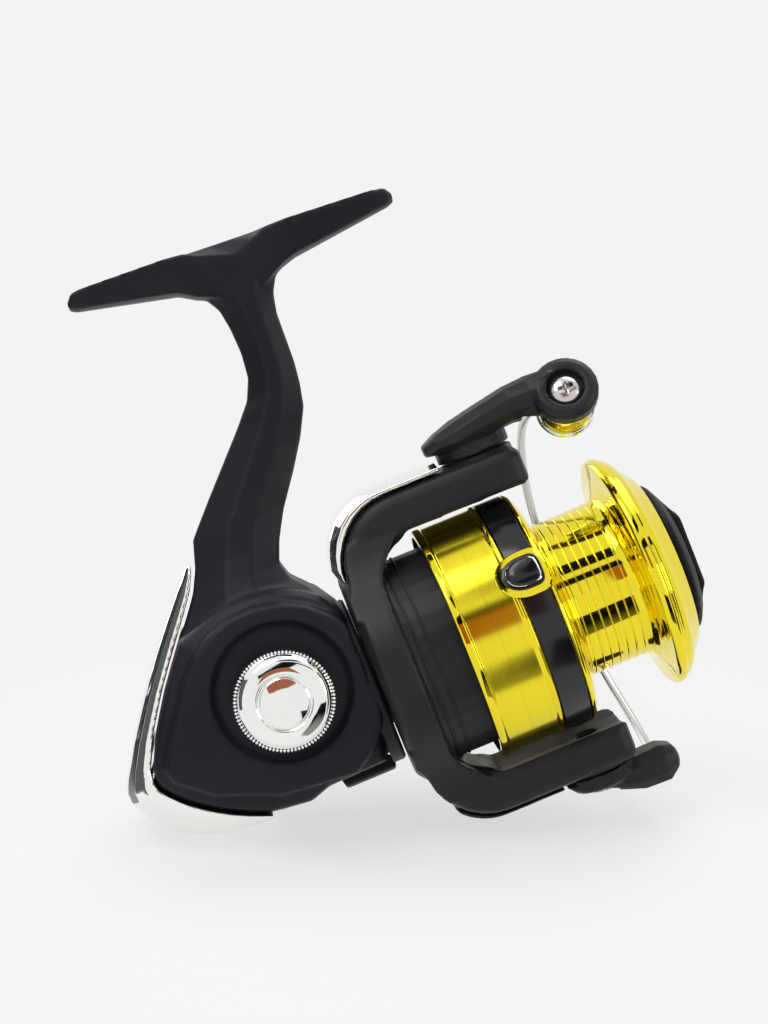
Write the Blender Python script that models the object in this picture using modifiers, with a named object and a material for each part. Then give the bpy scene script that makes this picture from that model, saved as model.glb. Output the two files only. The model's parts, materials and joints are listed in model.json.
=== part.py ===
"""A spinning reel: housing and foot, hypoid gear train, rotor with a bail, and a sliding spool with a front drag.

Lengths are in millimetres here and become metres in place(). The world origin is the middle of the foot's rod seat:
+X runs along the rod towards its tip, +Z points up into the rod. Everything on the spool's axis hangs on one empty,
AXIS, whose +X is that axis. There u runs forward from the spool's rear rim, y across and w up.
"""

import math

import bmesh
import bpy
from mathutils import Euler, Matrix, Vector

REEL = "spinning_reel"
AXIS = "spool_axis"
MM = 0.001
GAP = 0.3  # between pieces that touch
RUN = 0.6  # between pieces that pass each other

# Foot and stem
FOOT_LENGTH = 58.8
FOOT_WIDTH = 14.0
FOOT_TIP_WIDTH = 9.6
FOOT_TIP_THICKNESS = 3.3
FOOT_ROOT_THICKNESS = 6.3
SEAT_STRIP = 4.0  # the flat that the rod rests on
WAIST_DIP = 2.8
STEM_THICKNESS = 10.0

# Spool axis, from the middle of the foot's seat
AXIS_FORWARD = 14.7
AXIS_DROP = 79.3
AXIS_TILT = math.radians(2.9)

# Spool
SKIRT_RADIUS = 21.4
SKIRT_LENGTH = 19.4
SKIRT_WALL = 1.2
ARBOR_RADIUS = 14.2
ARBOR_LENGTH = 12.0
LIP_RADIUS = 21.2
LIP_LENGTH = 8.1
BAND_START = 11.7
BAND_WIDTH = 5.1
BAND_DEPTH = 0.6
STROKE = 10.0

# Shafts
SHAFT_RADIUS = 1.9
PINION_BORE = SHAFT_RADIUS + 0.35
PINION_RADIUS = 3.6
PINION_TEETH = 8
DRIVE_TEETH = 42
DRIVE_RADIUS = 11.0
DRIVE_SHAFT_RADIUS = 3.1
DRIVE_U = -30.8
DRIVE_W = 5.4
CRANK_RADIUS = STROKE / 2
CRANK_GEAR_RADIUS = 6.4
CRANK_TEETH = 24

# Gear case
CASE_HALF = 12.5
PLATEAU_HALF = 15.0
COVER_SPLIT = 9.0  # where the side cover starts, on the handle's side
WALL = 2.2
NECK_RADIUS = 13.7
NECK_FRONT = -15.7
WELL_RADIUS = 12.2

# Rotor
CUP_GAP = 1.9
CUP_WALL = 1.6
CUP_RADIUS = SKIRT_RADIUS - SKIRT_WALL - CUP_GAP
CUP_FRONT = 6.0
ROTOR_BACK = -15.1
BACK_THICKNESS = 7.0
ARM_GAP = 2.4
ARM_THICKNESS = 5.7
ARM_WIDTH = 17.0
ARM_FRONT = 22.2
ARM_INNER = SKIRT_RADIUS + ARM_GAP
ARM_OUTER = ARM_INNER + ARM_THICKNESS
CLUTCH_RADIUS = 10.4
ROTOR_WEB = ROTOR_BACK + BACK_THICKNESS + 0.5
TRIM_CROWN = 1.7
SHOULDER = ROTOR_BACK + 1.5
CORNER = 11.5

# Bail
PIVOT_U = 15.5
HUB_RADIUS = 6.6
ROLLER_U = 32.5
ROLLER_TILT = math.radians(25)
CAP_RADIUS = 5.7
WIRE_RADIUS = 0.8
WIRE_REACH = 42.3  # from the pivot axis, so that it clears the drag knob as it opens

# Handle
HANDLE_REACH = 50.0
HANDLE_Y = 47.0
KNOB_LENGTH = 24.0
CAP_BASE_RADIUS = 8.5
CAP_FACE_RADIUS = 7.3
CAP_HEIGHT = 5.6

# Case
CASE_CENTRE = (-16.9, -77.0)
CASE_ARC = 19.0
PLATEAU_ARC = 17.2
COVER_FRONT = NECK_FRONT - 8.6
COVER_SCREWS = ((-50.0, 6.9), (-39.2, -10.0), (-27.7, 20.0))
REAR_SCREW = (-30.0, 0, -96.2)
BOSS_START = 4.0

# Gear train
BEARING_OUTER = 6.4
BEARING_WIDTH = 2.8
PINION_SEAT = 4.0
SHAFT_BORE = 2.3
DRIVE_BACK = 8.0
SHANK_RADIUS = 3.6
CRANK_U = DRIVE_U - 10.8
CRANK_W = 2.0
CRANK_Y = -6.2
CRANK_FACE = 1.6
SLIDER_SIDE = -3.9
SLIDER_U = CRANK_U - CRANK_RADIUS
SLIDER_HALF = 2.3
GUIDE_W = 10.4
GUIDE_BACK = -47.5
GUIDE_FRONT = -24.2
NOSE_RADIUS = 3.0
PINION_BACK = -27.6
PINION_FRONT = NECK_FRONT - PINION_SEAT
NOSE_FRONT = ROTOR_WEB + 2.9
CLUTCH_FRONT = -10.2
SHAFT_END = 41.2

# Anti-reverse lever
LEVER_U = -22.5
LEVER_W = -10.4
LEVER_REACH = 5.9
LEVER_REST = math.radians(24)

# Inside the spool, and the drag
ARBOR_START = SKIRT_LENGTH
LIP_START = ARBOR_START + ARBOR_LENGTH
LIP_END = LIP_START + LIP_LENGTH
HUB_BACK = 12.4
WEB = 15.2
DRAG_WELL = 30.4
DRAG_RADIUS = 9.6
KNOB_BASE = 13.8
KNOB_UNDER = LIP_END + GAP
KNOB_TOP = LIP_END + 5.2
CLIP_TURN = math.radians(-27)
CLIP_AT = (BAND_START + BAND_WIDTH / 2, 0, 0)

# Bail's pivots, roller and lever
PIVOT_BOLT = 1.6
SPRING_U = 2.5
ROLLER_AT = (ROLLER_U, -13.6, 35.6)
ROLLER_FRAME = (-(math.pi / 2 + ROLLER_TILT), 0, 0)
ROLLER_PIN = 1.5
CONE_START = 9.6
CONE_END = 13.0
LEVER_EYE = (25.6, 0.6, -ARM_OUTER - 3.4)
LEVER_PATH = (  # u, upper face's depth, lower face's depth, half width
    (8.8, 30.7, 31.3, 2.0), (10.0, 30.5, 32.4, 3.5), (12.4, 30.45, 33.3, 4.2), (16.0, 30.4, 34.3, 4.3),
    (21.7, 30.3, 36.4, 4.1), (26.6, 30.1, 36.7, 3.6), (28.8, 31.0, 35.2, 2.8), (29.4, 32.2, 34.2, 1.6),
)
BAIL_PATH = (  # u, y, w, half width, half height
    (7.0, -2.4, 33.6, 2.0, 1.1), (9.4, -2.6, 34.0, 3.6, 1.9), (13.0, -3.2, 34.2, 4.4, 2.9), (18.0, -4.6, 35.2, 4.2, 3.0),
    (23.0, -7.2, 36.0, 3.6, 3.3), (27.0, -9.6, 35.8, 3.0, 3.9), (30.5, -11.4, 35.3, 2.3, 4.3), (33.0, -12.2, 35.0, 1.6, 3.6),
)

# Handle's cap, stud and slope
CAP_BASE_Y = -PLATEAU_HALF - 1.6
STUD_RADIUS = 1.9
STUD_END = -4.0
HANDLE_DROP = math.radians(8)


# ---------------------------------------------------------------- tools


def clear_scene():
    for obj in list(bpy.data.objects):
        bpy.data.objects.remove(obj, do_unlink=True)


def material(name, colour, roughness, metallic=0.0):
    made = bpy.data.materials.get(name) or bpy.data.materials.new(name)
    made.use_nodes = True
    shader = made.node_tree.nodes["Principled BSDF"]
    shader.inputs["Base Color"].default_value = (*colour, 1)
    shader.inputs["Roughness"].default_value = roughness
    shader.inputs["Metallic"].default_value = metallic
    made.diffuse_color = (*colour, 1)
    return made


def place(name, bm, finish, at=(0, 0, 0), turn=(0, 0, 0), on_axis=True):
    """An object from bm, whose lengths are in millimetres, with its origin at a point in millimetres."""
    bmesh.ops.recalc_face_normals(bm, faces=bm.faces)
    bmesh.ops.scale(bm, vec=(MM, MM, MM), verts=bm.verts)
    mesh = bpy.data.meshes.new(name)
    bm.to_mesh(mesh)
    bm.free()
    obj = bpy.data.objects.new(name, mesh)
    bpy.data.collections[REEL].objects.link(obj)
    obj.location = Vector(at) * MM
    obj.rotation_euler = turn
    obj.parent = bpy.data.objects[AXIS] if on_axis else None
    obj.data.materials.append(finish)
    return obj


def settle(obj):
    """Applies the modifiers, and turns every face outwards."""
    bpy.context.view_layer.update()
    graph = bpy.context.evaluated_depsgraph_get()
    mesh = bpy.data.meshes.new_from_object(obj.evaluated_get(graph))
    obj.modifiers.clear()
    old = obj.data
    obj.data = mesh
    bpy.data.meshes.remove(old)
    bm = bmesh.new()
    bm.from_mesh(mesh)
    bmesh.ops.remove_doubles(bm, verts=bm.verts, dist=5e-7)
    bmesh.ops.recalc_face_normals(bm, faces=bm.faces)
    bm.to_mesh(mesh)
    bm.free()
    return obj


def combine(obj, others, operation="DIFFERENCE", use_self=True):
    """One exact Boolean with each of the others, which are used up."""
    for other in others:
        step = obj.modifiers.new("combine", "BOOLEAN")
        step.operation = operation
        step.solver = "EXACT"
        step.use_self = use_self
        step.object = other
        settle(obj)
        bpy.data.objects.remove(other, do_unlink=True)
    return obj


def soften(obj, width, segments=2, angle=40):
    step = obj.modifiers.new("soften", "BEVEL")
    step.width = width * MM
    step.segments = segments
    step.limit_method = "ANGLE"
    step.angle_limit = math.radians(angle)
    step.use_clamp_overlap = True
    return settle(obj)


ALONG = {"u": (0, math.pi / 2, 0), "y": (-math.pi / 2, 0, 0), "w": (0, 0, 0)}


def turned(name, profile, finish, at=(0, 0, 0), along="u", steps=32, turn=None, on_axis=True):
    """A profile of (distance along, radius) points, turned about an axis. One that starts and ends off it is a ring."""
    bm = bmesh.new()
    verts = [bm.verts.new((radius, 0, distance)) for distance, radius in profile]
    ring = profile[0][1] > 0 or profile[-1][1] > 0
    for first, second in zip(verts, verts[1:] + verts[:1] if ring else verts[1:]):
        bm.edges.new((first, second))
    obj = place(name, bm, finish, at, turn or ALONG[along], on_axis)
    screw = obj.modifiers.new("turn", "SCREW")
    screw.axis = "Z"
    screw.steps = steps
    screw.render_steps = steps
    screw.use_merge_vertices = True
    screw.merge_threshold = 1e-5
    return settle(obj)


def tube(start, end, outer, inner):
    """The profile of a plain tube."""
    return [(start, inner), (start, outer), (end, outer), (end, inner)]


def rod(start, end, radius):
    return [(start, 0), (start, radius), (end, radius), (end, 0)]


def plate(name, outline, low, high, finish, on_axis=True, at=(0, 0, 0)):
    """A flat outline of (x, z) points, as thick as low to high in y."""
    bm = bmesh.new()
    face = bm.faces.new([bm.verts.new((x, low, z)) for x, z in outline])
    grown = bmesh.ops.extrude_face_region(bm, geom=[face])
    moved = [item for item in grown["geom"] if isinstance(item, bmesh.types.BMVert)]
    bmesh.ops.translate(bm, verts=moved, vec=(0, high - low, 0))
    return place(name, bm, finish, at=at, on_axis=on_axis)


def pillow(name, outline, low, high, edge, finish, on_axis=True, at=(0, 0, 0)):
    """A plate whose edges are rounded: the outline steps inwards near both faces."""
    steps = ((0.0, 1.0), (0.3, 0.3), (1.0, 0.0))
    levels = [(low + edge * deep, edge * inward) for deep, inward in steps]
    levels += [(high - edge * deep, edge * inward) for deep, inward in reversed(steps)]
    rings = [[(x + at[0], y + at[1], z + at[2]) for x, z in inset(outline, inward)] for y, inward in levels]
    return loft(name, rings, finish, on_axis)


def loft(name, rings, finish, on_axis=True):
    """A skin over closed rings of (x, y, z) points, capped at both ends."""
    bm = bmesh.new()
    loops = []
    for ring in rings:
        verts = [bm.verts.new(point) for point in ring]
        loops.append([bm.edges.new(pair) for pair in zip(verts, verts[1:] + verts[:1])])
    for first, second in zip(loops, loops[1:]):
        bmesh.ops.bridge_loops(bm, edges=first + second)
    for loop in (loops[0], loops[-1]):
        bmesh.ops.contextual_create(bm, geom=loop)
    return place(name, bm, finish, on_axis=on_axis)


def block(name, low, high, finish, on_axis=True, at=(0, 0, 0), turn=(0, 0, 0)):
    bm = bmesh.new()
    bmesh.ops.create_cube(bm, size=1)
    size = [b - a for a, b in zip(low, high)]
    middle = [(a + b) / 2 for a, b in zip(low, high)]
    bmesh.ops.scale(bm, vec=size, verts=bm.verts)
    bmesh.ops.translate(bm, vec=middle, verts=bm.verts)
    return place(name, bm, finish, at, turn, on_axis)


def circle(centre, radius, count, start=0.0, sweep=math.tau):
    """Points on an arc in the x-z plane, both ends included unless it is a whole turn."""
    steps = count if abs(sweep) >= math.tau - 1e-6 else count - 1
    return [
        (centre[0] + radius * math.cos(start + sweep * i / steps), centre[1] + radius * math.sin(start + sweep * i / steps))
        for i in range(count)
    ]


def flowing(points, per_span=3):
    """A Catmull-Rom curve through the points, of any dimension."""
    ends = [points[0], *points, points[-1]]
    out = []
    for before, a, b, after in zip(ends, ends[1:], ends[2:], ends[3:]):
        for i in range(per_span):
            t = i / per_span
            out.append(tuple(
                0.5 * (2 * q + (r - p) * t + (2 * p - 5 * q + 4 * r - s) * t**2 + (3 * q - p - 3 * r + s) * t**3)
                for p, q, r, s in zip(before, a, b, after)
            ))
    return [*out, tuple(points[-1])]


def inset(outline, distance):
    """The outline moved inwards by a distance."""
    area = sum(a[0] * b[1] - b[0] * a[1] for a, b in zip(outline, outline[1:] + outline[:1]))
    side = 1 if area > 0 else -1
    moved = []
    for before, point, after in zip(outline[-1:] + outline[:-1], outline, outline[1:] + outline[:1]):
        into = Vector((point[0] - before[0], point[1] - before[1])).normalized()
        out = Vector((after[0] - point[0], after[1] - point[1])).normalized()
        normal = Vector((-into.y - out.y, into.x + out.x)).normalized() * side
        reach = distance / max(0.5, abs(normal.dot(Vector((-into.y, into.x)))))
        moved.append((point[0] + normal.x * reach, point[1] + normal.y * reach))
    return moved


def to_axis(x, z):
    """A point of the world's x-z plane as (u, w)."""
    dx, dz = x - AXIS_FORWARD, z + AXIS_DROP
    cos, sin = math.cos(AXIS_TILT), math.sin(AXIS_TILT)
    return (dx * cos + dz * sin, dz * cos - dx * sin)


# ---------------------------------------------------------------- finishes

RUBBERY = ("soft black", (0.018, 0.016, 0.024), 0.45)
MOULDED = ("moulded black", (0.024, 0.024, 0.027), 0.4)
CHROME = ("chrome", (0.88, 0.9, 0.87), 0.08, 1.0)
GOLD = ("gold anodised", (0.95, 0.68, 0.1), 0.2, 1.0)
STEEL = ("stainless steel", (0.62, 0.6, 0.57), 0.25, 1.0)
BRASS = ("brass", (0.72, 0.53, 0.22), 0.3, 1.0)
ZINC = ("die-cast zinc", (0.5, 0.5, 0.52), 0.4, 1.0)
FELT = ("drag felt", (0.3, 0.26, 0.2), 0.9)
BAND = ("gloss black", (0.01, 0.01, 0.012), 0.12)


# ---------------------------------------------------------------- housing


def seam_outline():
    """The case's rear edge, from the stem down to the bottom, where the rear cover meets it."""
    return flowing([(-23.8, -50.4), (-25.4, -54.6), (-30.3, -61.6), (-35.2, -68.6), (-39.2, -75.4)], 2) + flowing(
        [(-41.3, -80.4), (-41.2, -83.8), (-36.9, -88.2), (-30.8, -91.9), (-24.6, -94.4)], 3
    )


def seam_x(height):
    """Where the seam is at a height."""
    seam = seam_outline()
    for (x, z), (next_x, next_z) in zip(seam, seam[1:]):
        if next_z <= height <= z:
            return x + (next_x - x) * (z - height) / (z - next_z)
    return seam[0][0]


def case_outline():
    arc = circle(CASE_CENTRE, CASE_ARC, 9, math.radians(52), math.radians(62))
    front = [(-17.8, -94.9), (-14.2, -93.5), (-3.6, -92.7), (-1.8, -80.0), (-2.4, -66.0)]
    rear = [point for point in seam_outline() if point[1] < -58]
    return rear + front + arc


def plateau_outline():
    arc = circle(CASE_CENTRE, PLATEAU_ARC, 15, math.radians(-62), math.radians(210))
    return arc + [(-37.0, -76.6), (-39.2, -81.0), (-38.6, -83.4), (-33.0, -87.6), (-22.0, -91.6), (-14.0, -92.0)]


def foot_rings():
    """Stations along the foot: the seat strip stays flat while the rims dip at the waist."""
    half, tip = FOOT_LENGTH / 2, FOOT_TIP_WIDTH / 2
    wide, thick, thin = FOOT_WIDTH / 2, FOOT_ROOT_THICKNESS, FOOT_TIP_THICKNESS
    stations = [  # x, half width, rim's drop, underside
        (-half, tip * 0.45, 1.5, thin - 0.5), (1.2 - half, tip * 0.85, 0.35, thin), (3.2 - half, tip, 0.0, thin + 0.3),
        (-11, wide, 0.0, thick), (-8.2, wide * 0.97, 0.1, thick + 1.6), (-4, wide * 0.8, 1.6, thick + 3),
        (0.4, wide * 0.7, WAIST_DIP, thick + 3), (4, wide * 0.82, 1.4, thick + 3), (7.4, wide * 0.97, 0.1, thick + 1),
        (10.2, wide, 0.0, thick), (half - 3.2, tip, 0.0, thin + 0.3), (half - 1.2, tip * 0.85, 0.35, thin),
        (half, tip * 0.45, 1.5, thin - 0.5),
    ]
    rings = []
    for x, width, drop, under in stations:
        strip = min(SEAT_STRIP / 2, width * 0.6)
        top = 0 if abs(x) < half - 1 else -drop
        side = [(strip, top), (width, -drop), (width * 0.98, -drop - 0.7), (width * 0.72, -under + 0.4), (width * 0.35, -under)]
        rings.append([(x, y, z) for y, z in side] + [(x, -y, z) for y, z in reversed(side)])
    return rings


def stem_rings():
    """Eight-sided stations down the stem, from inside the foot to inside the case."""
    half = STEM_THICKNESS / 2
    edges = [  # height, rear edge, front edge, share of the thickness
        (-2.4, -7.0, 7.0, 0.8), (-6.3, -9.6, 8.8, 0.86), (-8.2, -6.9, 6.0, 0.92), (-10.9, -5.2, 4.6, 0.98),
        (-14.4, -4.5, 4.0, 1.0), (-19.0, -4.1, 4.05, 1.0), (-23.4, -4.4, 4.1, 1.0), (-27.1, -5.9, 3.8, 1.02),
        (-31.1, -9.1, 3.1, 1.06), (-36.0, -13.4, 0.8, 1.1), (-41.0, -17.8, -2.2, 1.18), (-46.7, -22.6, -6.0, 1.32),
        (-51.5, -26.0, -8.5, 1.5), (-55.2, -29.0, -9.8, 1.75), (-58.2, -31.0, -8.8, 2.0), (-61.0, -33.4, -6.0, 2.25),
        (-65.0, -36.0, -4.0, 2.4),
    ]
    rings = []
    for height, rear, front, share in edges:
        if height < -50:
            rear = seam_x(height) + GAP
        width = front - rear
        y = half * share
        slope = 0.35 if height > -50 else 0.55
        side = [(rear, y * slope), (rear + 0.38 * width, y), (rear + 0.68 * width, y), (front, y * slope)]
        rings.append([(x, v, height) for x, v in side] + [(x, -v, height) for x, v in reversed(side)])
    return rings


def housing():
    """Body, stem and foot in one moulding, open towards the handle's side."""
    finish = material(*RUBBERY)
    body = pillow("body_housing", case_outline(), -CASE_HALF, CASE_HALF, 2.2, finish, on_axis=False)
    plateau = pillow("plateau", plateau_outline(), -PLATEAU_HALF, 0, 1.0, finish, on_axis=False)
    combine(plateau, [block("front", (NECK_FRONT - 0.9, -50, -60), (40, 50, 60), finish)])
    stem = loft("stem", stem_rings(), finish, on_axis=False)
    foot = loft("foot", foot_rings(), finish, on_axis=False)
    neck = turned("neck", [(-24, 0), (-24, NECK_RADIUS - 1), (-21, NECK_RADIUS), (NECK_FRONT - 0.8, NECK_RADIUS),
                           (NECK_FRONT, NECK_RADIUS - 0.8), (NECK_FRONT, 0)], finish)
    combine(body, [plateau, stem, foot, neck], "UNION")
    cavity = plate("cavity", inset(case_outline(), WALL + 0.4), -CASE_HALF + 2.8, COVER_SPLIT + 5, finish, False)
    front_wall = block("front_wall", (-22, -20, -20), (0, 20, 25), finish)
    combine(cavity, [front_wall])
    well = turned("well", [(-PLATEAU_HALF - 3, 0), (-PLATEAU_HALF - 3, WELL_RADIUS + 0.6), (-PLATEAU_HALF, WELL_RADIUS),
                           (-PLATEAU_HALF + 1.6, WELL_RADIUS - 1), (-PLATEAU_HALF + 1.6, 0)], finish,
                  at=(DRIVE_U, 0, DRIVE_W + 0.6), along="y", steps=30)
    bearing_seat = turned("seat", rod(-CASE_HALF - 0.4, 0, BEARING_OUTER + GAP), finish,
                          at=(DRIVE_U, 0, DRIVE_W), along="y", steps=24)
    shaft_hole = turned("hole", rod(-20, 0, DRIVE_SHAFT_RADIUS + RUN), finish, at=(DRIVE_U, 0, DRIVE_W), along="y", steps=24)
    pinion_hole = turned("bore", [(-30, 0), (-30, PINION_RADIUS + RUN), (NECK_FRONT - PINION_SEAT, PINION_RADIUS + RUN),
                                  (NECK_FRONT - PINION_SEAT, BEARING_OUTER + GAP), (0, BEARING_OUTER + GAP), (0, 0)],
                         finish, steps=24)
    slot = block("slot", (LEVER_U - 5.6, -6, -20), (LEVER_U + 5.6, 6, LEVER_W + 2.2), finish)
    cam_bore = turned("cam", rod(LEVER_U - 7.4, LEVER_U + 7.4, 1.2 + GAP), finish, at=(0, 0, LEVER_W), steps=16)
    gear_room = turned("gear_room", rod(DRIVE_BACK - 4.4, COVER_SPLIT + 5, DRIVE_RADIUS + RUN), finish,
                       at=(DRIVE_U, 0, DRIVE_W), along="y", steps=30)
    combine(body, [cavity, gear_room, well, bearing_seat, shaft_hole, pinion_hole, slot, cam_bore])
    bosses = [turned("boss", rod(BOSS_START, COVER_SPLIT + 1, 2.5), finish, at=(u, 0, w), along="y", steps=12)
              for u, w in COVER_SCREWS]
    lug = block("lug", (GUIDE_FRONT - 1, -CASE_HALF + 1, GUIDE_W - 2), (GUIDE_FRONT + 1.2, 2, GUIDE_W + 2), finish)
    combine(body, [*bosses, lug], "UNION")
    threads = [turned("thread", rod(BOSS_START - 0.5, COVER_SPLIT + 3, 1.2 + GAP), finish, at=(u, 0, w), along="y", steps=12)
               for u, w in COVER_SCREWS]
    guide = turned("guide", rod(GUIDE_BACK, GUIDE_FRONT + GAP, 1 + GAP), finish, at=(0, 0, GUIDE_W), steps=16)
    split = plate("split", inset(case_outline(), -GAP), COVER_SPLIT, 40, finish, on_axis=False)
    combine(split, [block("front", (COVER_FRONT + GAP, -50, -60), (40, 50, 60), finish)])
    combine(body, [*threads, guide, split])
    post = turned("post", rod(-CASE_HALF + 2, CRANK_Y - CRANK_FACE / 2 - GAP, 3.2), finish,
                  at=(CRANK_U, 0, CRANK_W), along="y", steps=20)
    pin = turned("pin", rod(-CASE_HALF + 2, CRANK_Y + CRANK_FACE / 2 + 0.2, 1.5), finish,
                 at=(CRANK_U, 0, CRANK_W), along="y", steps=20)
    return combine(body, [post, pin], "UNION")


def side_cover():
    """The handle's side of the case, screwed to the housing."""
    finish = material(*RUBBERY)
    start = COVER_SPLIT + GAP
    cover = pillow("side_cover", case_outline(), start - 1.4, CASE_HALF, 1.4, finish, on_axis=False)
    below = block("below", (-60, -5, -110), (10, start, -40), finish, on_axis=False)
    combine(cover, [below])
    disc = turned("disc", [(start + 0.2, 0), (start + 0.2, PLATEAU_ARC - 2), (PLATEAU_HALF - 1, PLATEAU_ARC - 2),
                           (PLATEAU_HALF, PLATEAU_ARC - 3), (PLATEAU_HALF, 0)], finish,
                  at=(DRIVE_U, 0, DRIVE_W), along="y")
    boss = turned("boss", [(PLATEAU_HALF - 1, 0), (PLATEAU_HALF - 1, 8.6), (PLATEAU_HALF + 1.4, 7.8),
                           (PLATEAU_HALF + 1.4, 0)], finish, at=(DRIVE_U, 0, DRIVE_W), along="y", steps=32)
    combine(cover, [disc, boss], "UNION")
    combine(cover, [block("front", (COVER_FRONT, -50, -60), (40, 50, 60), finish)])
    room = turned("room", rod(start - 1, CASE_HALF - 2.2, DRIVE_RADIUS + 1), finish, at=(DRIVE_U, 0, DRIVE_W), along="y")
    seat = turned("seat", rod(start - 1, CASE_HALF + 0.5, BEARING_OUTER + GAP), finish,
                  at=(DRIVE_U, 0, DRIVE_W), along="y", steps=32)
    hole = turned("hole", rod(0, 30, SHANK_RADIUS + RUN), finish, at=(DRIVE_U, 0, DRIVE_W), along="y", steps=24)
    combine(cover, [room, seat, hole])
    for u, w in COVER_SCREWS:
        counterbore = turned("bore", [(start - 1, 0), (start - 1, 1.2 + GAP), (CASE_HALF - 1.4, 1.2 + GAP),
                                      (CASE_HALF - 1.4, 2.2 + GAP), (30, 2.2 + GAP), (30, 0)], finish,
                             at=(u, 0, w), along="y", steps=16)
        combine(cover, [counterbore])
    return cover


def rear_cover():
    """The bright cap over the back and the bottom of the case."""
    seam = seam_outline()
    outer = flowing([(-25.6, -50.6), (-29.0, -54.8), (-34.6, -62.0), (-39.8, -69.4), (-43.9, -75.9)], 2) + flowing(
        [(-47.2, -81.8), (-47.9, -86.0), (-42.4, -93.2), (-33.6, -96.8), (-25.0, -96.4)], 3)
    rings = []
    for i, ((x, z), (far_x, far_z)) in enumerate(zip(seam, outer)):
        share = i / (len(seam) - 1)
        half = 4.2 + 7.2 * min(1, share * 1.7)
        out = Vector((far_x - x, far_z - z))
        step = out.normalized() * min(GAP + 0.15, out.length * 0.3)
        x, z = x + step.x, z + step.y
        dx, dz = far_x - x, far_z - z
        side = [(0.0, 1.0), (0.3, 0.97), (0.62, 0.82), (0.86, 0.56), (0.98, 0.25)]
        around = [(x + dx * deep, half * wide, z + dz * deep) for deep, wide in side]
        rings.append(around + [(px, -py, pz) for px, py, pz in reversed(around)])
    cover = loft("rear_cover", rings, material(*CHROME), on_axis=False)
    recess = turned("recess", [(-30, 0), (-30, 2.2 + GAP), (1.4, 2.2 + GAP), (1.4, 1.2 + GAP), (5, 1.2 + GAP), (5, 0)],
                    material(*CHROME), at=REAR_SCREW, along="w", steps=16, on_axis=False)
    return combine(cover, [recess], use_self=False)


# ---------------------------------------------------------------- gear train


def bearing(name, at, along, start, inner, outer=BEARING_OUTER, width=BEARING_WIDTH):
    """A shielded ball bearing, as one ring with a groove round each face."""
    end = start + width
    middle, lip = (inner + outer) / 2, (outer - inner) * 0.16
    profile = [(start, inner), (start, middle - lip), (start + 0.4, middle - lip), (start + 0.4, middle + lip),
               (start, middle + lip), (start, outer), (end, outer), (end, middle + lip), (end - 0.4, middle + lip),
               (end - 0.4, middle - lip), (end, middle - lip), (end, inner)]
    return turned(name, profile, material(*STEEL), at=at, along=along, steps=16)


def spur_outline(teeth, root, tip, fill=0.4):
    """A gear's outline: each tooth fills a share of its pitch at the tip."""
    points = []
    for i in range(teeth):
        middle = math.tau * i / teeth
        for radius, share in ((root, 0.62), (tip, fill), (tip, -fill), (root, -0.62)):
            angle = middle - share * math.pi / teeth
            points.append((radius * math.cos(angle), radius * math.sin(angle)))
    return points


def drive_gear():
    """The face gear and its hollow shaft, with the small gear that turns the crank."""
    finish = material(*ZINC)
    back = DRIVE_BACK
    wheel = turned("drive_gear", [
        (-CASE_HALF - 0.3, SHAFT_BORE), (-CASE_HALF - 0.3, DRIVE_SHAFT_RADIUS), (back - 2.2, DRIVE_SHAFT_RADIUS),
        (back - 1.4, DRIVE_RADIUS - 4.5), (back - 2.6, DRIVE_RADIUS - 3.6), (back - 2.6, DRIVE_RADIUS),
        (back, DRIVE_RADIUS), (back, 5.2), (CASE_HALF - 3.0, DRIVE_SHAFT_RADIUS + 1.2),
        (CASE_HALF - 3.0, DRIVE_SHAFT_RADIUS), (CASE_HALF + 0.2, DRIVE_SHAFT_RADIUS), (CASE_HALF + 0.2, SHAFT_BORE),
    ], finish, at=(DRIVE_U, 0, DRIVE_W), along="y", steps=42)
    teeth = []
    for i in range(DRIVE_TEETH):
        angle = math.tau * i / DRIVE_TEETH
        cut = block("cut", (DRIVE_RADIUS - 3.4, back - 4, -0.42), (DRIVE_RADIUS + 1, back - 1.7, 0.42), finish,
                    at=(DRIVE_U, 0, DRIVE_W), turn=(0, angle, 0))
        teeth.append(cut)
    cutter = merged(teeth)
    combine(wheel, [cutter])
    pinion = plate("crank_drive", spur_outline(CRANK_TEETH // 2, 3.3, 4.0), CRANK_Y - 1, CRANK_Y + 1, finish,
                   at=(DRIVE_U, 0, DRIVE_W))
    core = turned("core", rod(-20, 20, SHAFT_BORE + 0.3), finish, at=(DRIVE_U, 0, DRIVE_W), along="y", steps=24)
    combine(pinion, [core])
    return combine(wheel, [pinion], "UNION")


def merged(objects):
    """The objects' meshes as one object, for a cutter made of separate solids."""
    bpy.context.view_layer.update()
    bm = bmesh.new()
    for obj in objects:
        start = len(bm.verts)
        bm.from_mesh(obj.data)
        bm.verts.ensure_lookup_table()
        bmesh.ops.transform(bm, matrix=obj.matrix_world, verts=bm.verts[start:])
    for obj in objects[1:]:
        bpy.data.objects.remove(obj, do_unlink=True)
    first = objects[0]
    first.parent = None
    first.matrix_world.identity()
    bm.to_mesh(first.data)
    bm.free()
    bpy.context.view_layer.update()
    return first


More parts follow.
